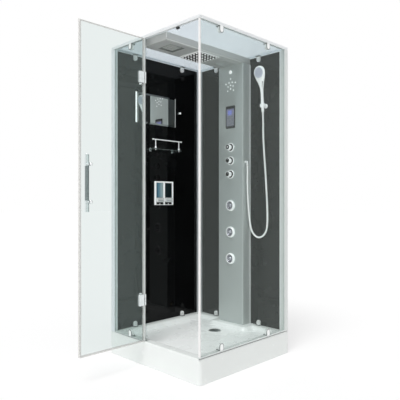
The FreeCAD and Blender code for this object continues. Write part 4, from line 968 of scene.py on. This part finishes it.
def makeHandle():
    # A bar with a satin middle between bright ends, on two standoffs with caps inside.
    low, high = corners("door_handle")
    outside, inside = (corner[0] for corner in corners("door_glass"))
    r = door["gripRadius"]
    x, y, middle = low[0] + r, (low[1] + high[1]) / 2, (low[2] + high[2]) / 2
    lower, upper = middle - door["gripPosts"], middle + door["gripPosts"]

    def bar(radius, bottom, top, soft):
        return turned(drum(1, radius, bottom, top), (x, y, 0), soft=soft, steps=40)
    shapes = [bar(r, low[2], lower - 9, 2), bar(r, upper + 9, high[2], 2)]
    for z in (lower, upper):
        standoff = [(2, 0), (8, 0), (8, 20), (10, 31), (10, outside - x), (2, outside - x)]
        cap = [(2, 0), (10, 0), (10, 6), (7, 9), (2, 9)]
        shapes += [bar(r + 0.3, z - 9, z + 9, 1), turned(standoff, (x, y, z), (1, 0, 0)),
                   turned(cap, (inside, y, z), (1, 0, 0), soft=1)]
    shapes.append(marked(bar(r - 0.4, lower + 9, upper - 9, 0.5), 1))
    addPiece("door_handle_bar", shapes, "polishedChrome satinSteel",
             "door_handle", "door")


def makeHinges():
    # Clamp plates with rounded edges and cap screws, a block each and a knuckle in three parts.
    x, y = door["axis"]
    start, wide = door["plate"]
    middle = start + wide / 2
    cap = [(0.5, -0.5), (6, -0.5), (6, -0.1), (5, 0.4), (0.5, 0.5)]
    fixed, swinging = [], []
    for z0, z1 in seals["hinges"]:
        third = (z1 - z0) / 3
        for side in (-1, 1):
            near, far = sorted((side * 3, side * 8))
            ends = (x - start - wide, y + near, z0), (x - start, y + far, z1)
            fixed.append(slab(*ends, 1, 3, 1.2))
            ends = (x + near, y - start - wide, z0), (x + far, y - start, z1)
            swinging.append(slab(*ends, 0, 3, 1.2))
            for z in (z0 + 18, z1 - 18):
                fixed.append(turned(cap, (x - middle, y + side * 7.6, z), (0, side, 0), 24, 0.2))
                swinging.append(turned(cap, (x + side * 7.6, y - middle, z), (side, 0, 0), 24, 0.2))
        fixed.append(slab((door["blockFrom"], y - 8, z0), (x - start, y + 8, z1), 2, 1, 1))
        swinging.append(slab((x - 8, y - 14, z0), (x + 8, y - start, z1), 2, 1, 1))
        bottom = z0 + third + 0.5
        fixed += [turned(drum(1, 7, 0, third - 1), (x, y, bottom)),
                  slab((x - start - 1, y - 5, bottom), (x, y + 5, z1 - third - 0.5), 2, 0.5, 0.3)]
        for z in (z0, z1 - third):
            swinging += [turned(drum(1, 7, 0, third), (x, y, z)),
                         slab((x - 5, y - start - 1, z), (x + 5, y, z + third), 2, 0.5, 0.3)]
    addPiece("hinge_pane_plates", fixed, "polishedChrome", "hinge_pane_leaves")
    addPiece("hinge_door_plates", swinging, "polishedChrome", "hinge_door_leaves", "door")


column = {
    "front": 338,
    "knobs": {"lower_diverter": 1301, "upper_diverter": 1404.5, "mixer": 1508},
    "jets": {"lower": 652, "middle": 856, "upper": 1060},
    "speaker": 1985,
    "dots": ((5, 27, 54), (5, 50, 18)),    # each ring's count, radius and first angle
    "lamp": 2086,
    "steam": (390, 184),             # along y and z
    "outlet": 1390,
}


def onColumn(profile, z, steps=32, soft=0.6, x=0, ahead=0, **options):
    # A profile turned about a line that leaves the column's front at a right angle.
    return turned(profile, (x, column["front"] - ahead, z), (0, -1, 0), steps, soft, **options)


def makeColumn():
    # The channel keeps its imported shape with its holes; pale seals run down its rear edges.
    paintNode("steam_column", "columnPaint")
    paintNode("column_back_plate", "galvanised")
    low, high = corners("steam_column")
    strips = []
    for side in (-1, 1):
        near, far = sorted((side * high[0], side * (high[0] + 1.2)))
        strips.append(slab((near, high[1] - 20, low[2]), (far, *high[1:]), 2, 0.4, 0.3))
    addPiece("column_edge_seals", strips, "whiteDiffuser")


def makeSpeakerAndLamp():
    # Domed white dots in the sound holes, the cone behind them and the lamp's lens.
    z = column["speaker"]
    spots = [(0, z)]
    for count, reach, start in column["dots"]:
        turn = np.radians(start + np.arange(count) * 360 / count)
        spots += list(zip(reach * np.cos(turn), z + reach * np.sin(turn)))
    dot = [(0.2, -2), (4.2, -2), (4.2, 0), (6, 0), (6, 0.8), (3, 2), (0.2, 2.4)]
    addPiece("sound_dots", [onColumn(dot, height, 20, 0.4, x) for x, height in spots],
             "dotWhite")
    paintNode("loudspeaker", "blackPlastic")
    lens = [(0.5, -15), (11, -15), (11, 0), (15, 1.6), (14.6, 3.4), (8, 5.6), (0.5, 6)]
    ring = [(11, 0), (17, 0), (17, 1.6), (16, 2.6), (15, 2.6)]
    addPiece("column_lamp_lens",
             [onColumn(lens, column["lamp"]), marked(onColumn(ring, column["lamp"]), 1)],
             "dotWhite polishedChrome", "column_lamp")


def makePanel():
    # A frame of four rounded sides round a glowing screen.
    low, high = corners("control_bezel")
    width, height = high[0] - low[0], high[2] - low[2]
    profile = softened([(0, high[1]), (0, low[1] + 2), (2, low[1]), (6, low[1]), (8, low[1] + 2),
                        (8, high[1])], 0.8)
    rings = ringsOf(roundedRectangle(width, height, 6, 0.6, least=1), 1,
                    (0, 0, (low[2] + high[2]) / 2), profile)
    addPiece("panel_frame", [shell(rings, closed=True)], "blackPlastic",
             "control_bezel")
    addPlate("panel_screen", "control_screen", 1, 1, 0.4, "controlDisplay")
    paintNode("control_box", "blackPlastic")


def makeKnobs():
    # Rings flat on the column with a black disc inside, painted shade in the gap round each knob.
    # Knobs are turned with four finger flutes and carry a black cap. The mixer has a lever and a
    # pearl, the others a mark.
    y = column["front"]
    ring = [(27, 0), (34, 0), (34.3, 1.6), (32.5, 4.6), (29.5, 4.9), (28.5, 2), (27, 2)]
    rings = []
    for z in column["knobs"].values():
        # The black disc round each knob is painted shade in the gap between knob and ring.
        rings += [onColumn(ring, z, 48, closed=True),
                  marked(onColumn(drum(8, 28.8, 0, 1.4), z, 48, closed=True), 1)]
    addPiece("knob_plates", rings, "sparkle fieldBlack", "knob_rings")
    knob = [(3, -4), (6, -4), (6, 8), (16, 8), (19.5, 10), (20.5, 20), (21.4, 31), (21.2, 36),
            (19.5, 37.8), (17.5, 37.8), (17, 36), (1, 36)]
    cap = [(0.5, 35), (17.2, 35), (17.2, 38.2), (15, 38.9), (0.5, 39)]
    pearl = [(0.5, 37), (6, 37), (6, 39.2), (3, 40.2), (0.5, 40.4)]
    for body, z in column["knobs"].items():
        node = body + "_knob"
        shapes = [onColumn(knob, z, 72, 0.8, flutes=4, depth=0.14, fluted=(11, 30)),
                  marked(onColumn(cap, z, 48, 0.5), 1)]
        if body == "mixer":
            lever = curve([(x, y - 28, z) for x in (-12, -24, -38)], 6)
            shapes += [tube(lever, np.linspace(4, 3.2, len(lever)), (0, 0, 1)),
                       onColumn(pearl, z, soft=0.5)]
        else:
            shapes.append(slab((-1.2, y - 39.6, z + 6), (1.2, y - 38.2, z + 13), 1, 0.6, 0.2))
        addPiece(node + "_turned", shapes, "sparkle fieldBlack", node, body)


def makeJets():
    # Seats: a ring with a rolled lip round a ball. Nozzles: a ball with a snout, and black discs
    # for spray holes that paint the holes' shade.
    seat = [(10, -20), (19, -20), (19, 4), (20.5, 9), (24, 12.5), (31.5, 13), (31.5, 0), (28, 0),
            (28, -25.5), (10, -25.5)]
    lip = [(31.5, 0), (31.5, 14.5), (33.5, 15.6), (38, 13.5), (42, 7), (42.8, 2), (42.8, 0)]
    heights = column["jets"].values()
    seats = [onColumn(seat, z, 56, 1.5) for z in heights]
    seats += [marked(onColumn(lip, z, 56, 1.2, closed=True), 1) for z in heights]
    addPiece("jet_seat_rings", seats, "jetPearl sparkle", "jet_seats")
    ball = [(18.6 * math.cos(a), 18.6 * math.sin(a) + 1) for a in np.linspace(-1.45, 1.12, 18)]
    nozzle = ball + [(8, 19), (8, 25.5), (7, 27), (5.5, 27), (5, 24), (0.5, 24)]
    for name, z in column["jets"].items():
        shapes = [onColumn(nozzle, z, 40, 0.4)]
        # Black discs for the spray holes: painted shade of their insides.
        for angle in np.arange(5) * 2 * math.pi / 5:
            hole = onColumn(drum(0.1, 0.8, -0.4, 0.2), z + 3 * math.sin(angle), 8, 0,
                            3 * math.cos(angle), 24.2)
            shapes.append(marked(hole, 1))
        addPiece(name + "_jet_ball", shapes, "jetPearl blackPlastic",
                 name + "_jet_nozzle", name + "_jet")


def makeOutlets():
    # The steam outlet's louvred dome, and the hose outlet's rosette, elbow and ribbed nut.
    dome = [(3, -13), (8.4, -13), (8.4, 0), (21.8, 0), (21.8, 3), (17, 8), (12, 10), (11.5, 8.5),
            (9, 9.5), (8.5, 12.8), (5, 13.8), (1, 13.9)]
    left = corners("steam_column")[0][0]
    addPiece("steam_outlet_dome", [turned(dome, (left, *column["steam"]), (-1, 0, 0), 40)],
             "polishedChrome")
    paintNode("steam_outlet", "brassTube")
    low, high = corners("hose_outlet")
    side, y, z = low[0], (low[1] + high[1]) / 2, column["outlet"]
    end = hose["route"][-1]
    arm = curve([(side, y, z), (side + 8, y, z), (end[0] - 1, y, z - 4), (end[0], y, z - 12)], 8)
    rosette = [(2, 0), (11.8, 0), (11.8, 2), (9, 4), (2, 4)]
    nut = [(2, 0), (9.6, 0), (9.9, 3), (9.9, 13), (8, 16), (2, 16)]
    addPiece("hose_outlet_elbow",
             [turned(rosette, (side, y, z), (1, 0, 0)), tube(arm, 7.6),
              turned(nut, end, steps=72, flutes=18, depth=0.06, fluted=(2.5, 13.5))],
             "pearlChrome", "hose_outlet")


def makeHidden():
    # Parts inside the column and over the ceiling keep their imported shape.
    for node, finish in (("water_valves", "brassTube"), ("water_pipes", "brassTube"),
                         ("steam_generator", "galvanised"), ("fan_motor", "blackPlastic"),
                         ("fan_rotor", "blackPlastic")):
        paintNode(node, finish)


ceiling = {"nozzles": 7, "pitch": 28, "lensHalf": 46, "lens": (3, 18)}


def makeCeiling():
    # The housing keeps its imported shape; pale tubes along its lower edges and front corners are
    # painted highlights on those edges. The rain plate is a bright frame round a black field with a
    # grid of pale nozzles.
    paintNode("ceiling_housing", "housingPaint")
    paintNode("fan_grille", "grilleGrey")
    low, high = corners("ceiling_housing")
    edgeRuns = []
    for side in (-1, 1):
        x, front = side * (high[0] - 4.5), low[1] + 1
        path = np.linspace((x, front, low[2] + 5), (x, high[1] - 1, low[2] + 5), 30)
        edgeRuns.append(tube(path, 3, (0, 0, 1), 10))
        x, front = side * (high[0] - 1.5), low[1] + 1.5
        edgeRuns.append(tube(np.linspace((x, front, low[2] + 12), (x, front, high[2]), 8), 3,
                          steps=10))
    # Pale tubes on the housing's edges: painted highlights.
    addPiece("housing_edge_highlights", edgeRuns, "trimPaint")

    low, high = corners("rain_plate")
    side, bottom, top = 2 * high[0], low[2], high[2]
    border = ((0, top), (0, bottom + 2.5), (0.7, bottom + 0.8), (2.5, bottom), (6, bottom),
              (7, bottom + 1))
    rings = ringsOf(roundedRectangle(side, side, 8, 0.5, 6), 2, (0, 0, 0), border)
    nozzle = [(0.6, 0.9), (7, 0.9), (7, 0.2), (5, -1.4), (0.6, -1.8)]
    reach = (ceiling["nozzles"] - 1) / 2
    places = np.arange(-reach, reach + 1) * ceiling["pitch"]
    shapes = [marked(turned(nozzle, (x, y, bottom + 1), steps=12, soft=0), 2)
              for x in places for y in places]
    addPiece("rain_plate_face", [shell(rings, marks=(1, 0))] + shapes,
             "pearlChrome fieldBlack dotWhite", "rain_plate")

    low, high = corners("ceiling_lamp")
    paintNode("ceiling_lamp", "recessGrey")
    middle, half = (low + high)[:2] / 2, ceiling["lensHalf"]
    bottom, top = low[2] + np.array(ceiling["lens"])
    lens = slab((*(middle - half), bottom), (*(middle + half), top), 2, 6, 2)
    addPiece("ceiling_lamp_lens", [lens], "lensGrey")


mirror = {"bevel": 13, "bars": (12, 4)}


def makeMirror():
    # A sheet of silvered glass with a wide bevel: the border slopes back to the wall.
    low, high = corners("mirror")
    rings = ringsOf(roundedRectangle(*(high - low)[1:], 2, 0, 4), 0, (low + high) / 2,
                    ((0, low[0]), (0, low[0] + 2), (mirror["bevel"], high[0] - 0.2)))
    addPiece("mirror_sheet", [shell(rings, marks=(0, 1))], "mirrorSilver mirrorBevel",
             "mirror", sharp=1)
    near, far = mirror["bars"]
    bars = [slab((low[0] + 1, start, low[2] + 1), (high[0], end, high[2] - 1), 0, 1)
            for start, end in ((low[1], low[1] + near), (high[1] - far, high[1]))]
    addPiece("mirror_side_bars", [bars[0], marked(bars[1], 1)], "barWhite trimPaint")


def makeHook():
    low, high = corners("robe_hook")
    spot = (low[0], *(low + high)[1:] / 2)
    stem = [(1, 0), (9, 0), (9, 1.5), (5, 3.5), (3.8, 7), (4.2, 12.5), (1, 12.5)]
    cap = [(1, 12), (5, 12), (8, 14.5), (8.8, 17), (7, 19.6), (1, 20)]
    peg = [turned(profile, spot, (1, 0, 0), 40, 1.2) for profile in (cap, stem)]
    addPiece("robe_hook_peg", [peg[0], marked(peg[1], 1)], "dotWhite satinSteel",
             "robe_hook")


shelf = {"balusters": (-123, 113), "rail": 3.4}


def makeShelf():
    # A glass shelf with rounded front corners, two clamps, and a rail on two balusters.
    low, high = corners("shelf_glass")
    bottom, top = low[2], high[2]
    addPlate("shelf_sheet", "shelf_glass", 2, 12, 1.2, "shelfGlass shelfEdge",
             marks=(0, 1))
    start, end = corners("shelf_rail")
    x, z = (start[0] + end[0]) / 2, end[2] - 5
    shapes = [tube(np.linspace((x, start[1], z), (x, end[1], z), 40), shelf["rail"], (0, 0, 1), 16)]
    knob = [(1, -3), (4.8, -3), (5.6, 0), (4.8, 3), (1, 3)]
    for y in (start[1] + 3, end[1] - 3):
        shapes.append(turned(knob, (x, y, z), (0, 1, 0), 20, 1))
    baluster = [(1, 0), (5, 0), (7.4, 4), (7.6, 9), (5, 14), (3.4, 18), (3, 30), (3.8, 34), (3, 38),
                (3, z - top), (1, z - top)]
    nut = [(1, -4), (3.4, -3.6), (4.6, -1), (4.6, 0), (1, 0)]
    for y in shelf["balusters"]:
        shapes.append(turned(baluster, (x, y, top), steps=24, soft=1))
        shapes.append(turned(nut, (x, y, bottom), steps=24))
    addPiece("shelf_gallery", shapes, "sparkle", "shelf_rail")
    start, end = corners("shelf_clamps")
    shapes = []
    for y in (start[1], end[1] - 20):
        for z0, z1 in ((start[2], bottom), (top, end[2])):
            shapes.append(slab((low[0], y, z0), (low[0] + 20, y + 20, z1), 2, 5, 2))
    addPiece("shelf_grips", shapes, "polishedChrome", "shelf_clamps")


dispenser = {"pillar": 14, "window": 112}


def makeDispenser():
    # A dark case whose bright pillars bulge forward, with a bar at top and bottom, tinted
    # windows and spouts between them, and push levers.
    low, high = corners("soap_dispenser")
    face, pillar = high[0], dispenser["pillar"]
    bay = (high[1] - low[1] - 3 * pillar) / 2
    shapes = [marked(slab(low, (face - 13, *high[1:]), 0, 8, 3), 3)]
    for k in range(3):
        y = low[1] + k * (bay + pillar)
        shapes.append(slab((face - 17, y + 0.3, low[2] + 1), (face, y + pillar - 0.3, high[2] - 1),
                           0, 5, 4))
    left, right = low[1] + 2, high[1] - 2
    shapes += [slab((face - 15, left, high[2] - 11), (face - 2, right, high[2]), 0, 3, 2),
               slab((face - 15, left, low[2] + 1), (face - 3, right, low[2] + 5), 0, 2, 1)]
    top = high[2] - 12
    spout = [(0.5, 0), (3.2, 0), (2.4, 2), (0.5, 2.4)]
    for k in range(2):
        y = low[1] + pillar + k * (bay + pillar)
        shapes += [
            marked(slab((face - 15, y, top - dispenser["window"]), (face - 4.5, y + bay, top), 0, 4,
                        2), k + 1),
            marked(slab((face - 15, y, low[2] + 2), (face - 6, y + bay, low[2] + 20.5), 0, 1), 3)]
        for height in (7, 14):
            spot = (face - 6, y + bay / 2, low[2] + height)
            shapes.append(turned(spout, spot, (1, 0, 0), 16, 0.4))
    addPiece("dispenser_case", shapes, "sparkle tealWindow smokeWindow darkChrome",
             "soap_dispenser")
    for side in ("front", "rear"):
        node = side + "_soap_lever"
        a, b = corners(node)
        groove = slab((b[0] - 0.6, a[1] + 12, a[2] + 12), (b[0] + 0.3, b[1] - 12, a[2] + 15), 0,
                      1.4, 0.2)
        addPiece(node + "_pad", [slab(a + (2, 0, 0), b, 0, 5, 3), marked(groove, 1)],
                 "leverChrome greyPlastic", node, side + "_lever")


handset = {
    "ring": (270, 388, 1800),
    "tilt": math.radians(4),
    "lean": math.radians(10),        # of the spray face
    "head": (238, 20),               # its middle: up the grip, and in front of it
    "ridge": 26,                     # pitch of the grip's soft ridges
    "face": 43,
    "boxy": 0.85,                    # 1 for a plain ellipse
    "sprays": ((6, 8), (12, 17), (18, 26), (24, 33)),    # each ring's count and radius
    "stations": [                    # distance up, half width, half depth, forward shift
        (-17, 11.2, 11.2, 0), (0, 11.8, 11.8, 0), (30, 10.8, 11.2, 0), (70, 10.2, 11, 0),
        (100, 10.4, 11, 0), (122, 12.5, 11.4, 1), (145, 19, 12.2, 4), (170, 28, 12.6, 8.5),
        (195, 38, 12.2, 13.5), (212, 43.6, 11.6, 16.5), (226, 46.8, 11, 18.6),
        (240, 47.8, 10.4, 20.2), (254, 46, 9.8, 21.4), (267, 40, 9, 22.6), (277, 30, 7.8, 23.6),
        (283.5, 16, 5.5, 24.4), (285.6, 4, 2, 24.8)],
}


def leaning(angle):
    # Unit vectors up and forward, turned about x so that the first leans forward.
    s, c = math.sin(angle), math.cos(angle)
    return np.array([0, -s, c]), np.array([0, -c, -s])


def makeHandset():
    # A paddle: ellipses along a tilted axis. Half width, half depth and forward shift follow
    # smooth curves through a few stations, and a cosine of the distance gives the grip its
    # ridges. A spray disc with rings of nipples sits on the face.
    place = curve(handset["stations"], 6)
    distance = place[:, 0]
    wave = np.cos(2 * math.pi * distance / handset["ridge"])
    onGrip = np.clip((distance - 14) / 10, 0, 1) * np.clip((128 - distance) / 12, 0, 1)
    place[:, 1:3] *= (1 + 0.07 * wave * onGrip)[:, None]
    t = np.linspace(0, 2 * math.pi, 40, endpoint=False)
    across, out = (np.sign(v) * np.abs(v) ** handset["boxy"] for v in (np.cos(t), np.sin(t)))
    right = np.array([1, 0, 0])
    up, forward = leaning(handset["tilt"])
    centre = handset["ring"] + place[:, :1] * up + place[:, 3:] * forward
    points, faces = shell(centre[:, None] + place[:, 1, None, None] * across[:, None] * right
                          + place[:, 2, None, None] * out[:, None] * forward)[:2]
    # Grey faces on both sides of the flare where the head leaves the grip: painted shade in the
    # crease between the face's cone and the back.
    creaseShade = np.outer((distance[:-1] > 128) & (distance[:-1] < 172),
                    (t > 0.50) & (t < 0.82) | (t > math.pi - 0.82) & (t < math.pi - 0.50))
    shapes = [(points, faces, np.where(creaseShade.ravel(), 3, 0).tolist() + [0, 0])]

    upFace, faceOut = leaning(handset["lean"])
    rise, ahead = handset["head"]
    face = handset["ring"] + rise * up + ahead * forward + 8.5 * faceOut
    wide = handset["face"]
    rim = [(wide - 4.5, 0), (wide, 0), (wide, 2.5), (wide - 2, 4), (wide - 4.5, 4.2),
           (wide - 5.5, 2.5)]
    disc = [(1, -3), (wide - 4.5, -3), (wide - 4.5, 2.4), (20, 3.4), (1, 3.8)]
    shapes += [turned(rim, face, faceOut, 56, closed=True),
               marked(turned(disc, face, faceOut, 48), 1)]
    nipple = [(0.2, 2), (1.5, 2), (1.1, 4.6), (0.2, 4.7)]
    for count, reach in handset["sprays"]:
        for angle in np.arange(count) * 2 * math.pi / count:
            spot = face + reach * (math.cos(angle) * right + math.sin(angle) * upFace)
            shapes.append(marked(turned(nipple, spot, faceOut, 8, 0), 2))
    nut = [(2, -48), (10.3, -48), (10.3, -20), (9, -16), (2, -16)]
    shapes.append(turned(nut, handset["ring"], up, 72, 1, 18, 0.06, (-44, -22)))
    addPiece("handset_paddle", shapes, "sparkle sprayRubber whiteDiffuser greyPlastic",
             "handset", "hand_shower")


def makeBracket():
    # A wall rosette, an arm that flows into a ring round the handset's grip.
    x, y, z = handset["ring"]
    wall = corners("handset_bracket")[1][1]
    rosette = [(2, 0), (16.8, 0), (16.8, 4), (13, 9), (8, 12), (2, 12)]
    arm = curve([(x, wall - 6, z - 1), (x, wall - 14, z - 1), (x, y + 15, z)], 8)
    ring = [(13.4, -12.5), (18.6, -12.5), (20.8, 0), (20.4, 12.5), (13.4, 12.5)]
    addPiece("bracket_ring",
             [turned(rosette, (x, wall, z), (0, -1, 0), 40, 1.5),
              tube(arm, np.linspace(11, 8.5, len(arm)), (1, 0, 0), 20),
              turned(ring, (x, y, z), leaning(handset["tilt"])[0], 48, 1, closed=True)],
             "sparkle", "handset_bracket")


stages = {
    "camera, hose, light and floor are in": (makeCamera, makeHose, makeLight, makeFloor),
    "tray and shell are in": (makeTray, makeBase, makeDrain, makePosts, makeRails, makeWalls,
                              makePanes, makePaneSeals, makeClips),
    "door is in": (makeDoor, makeHandle, makeHinges),
    "column and ceiling are in": (makeColumn, makeSpeakerAndLamp, makePanel, makeKnobs, makeJets,
                                  makeOutlets, makeHidden, makeCeiling),
    "fittings are in": (makeMirror, makeHook, makeShelf, makeDispenser, makeHandset, makeBracket),
}
for report, makers in stages.items():
    for make in makers:
        make()
    print(report)
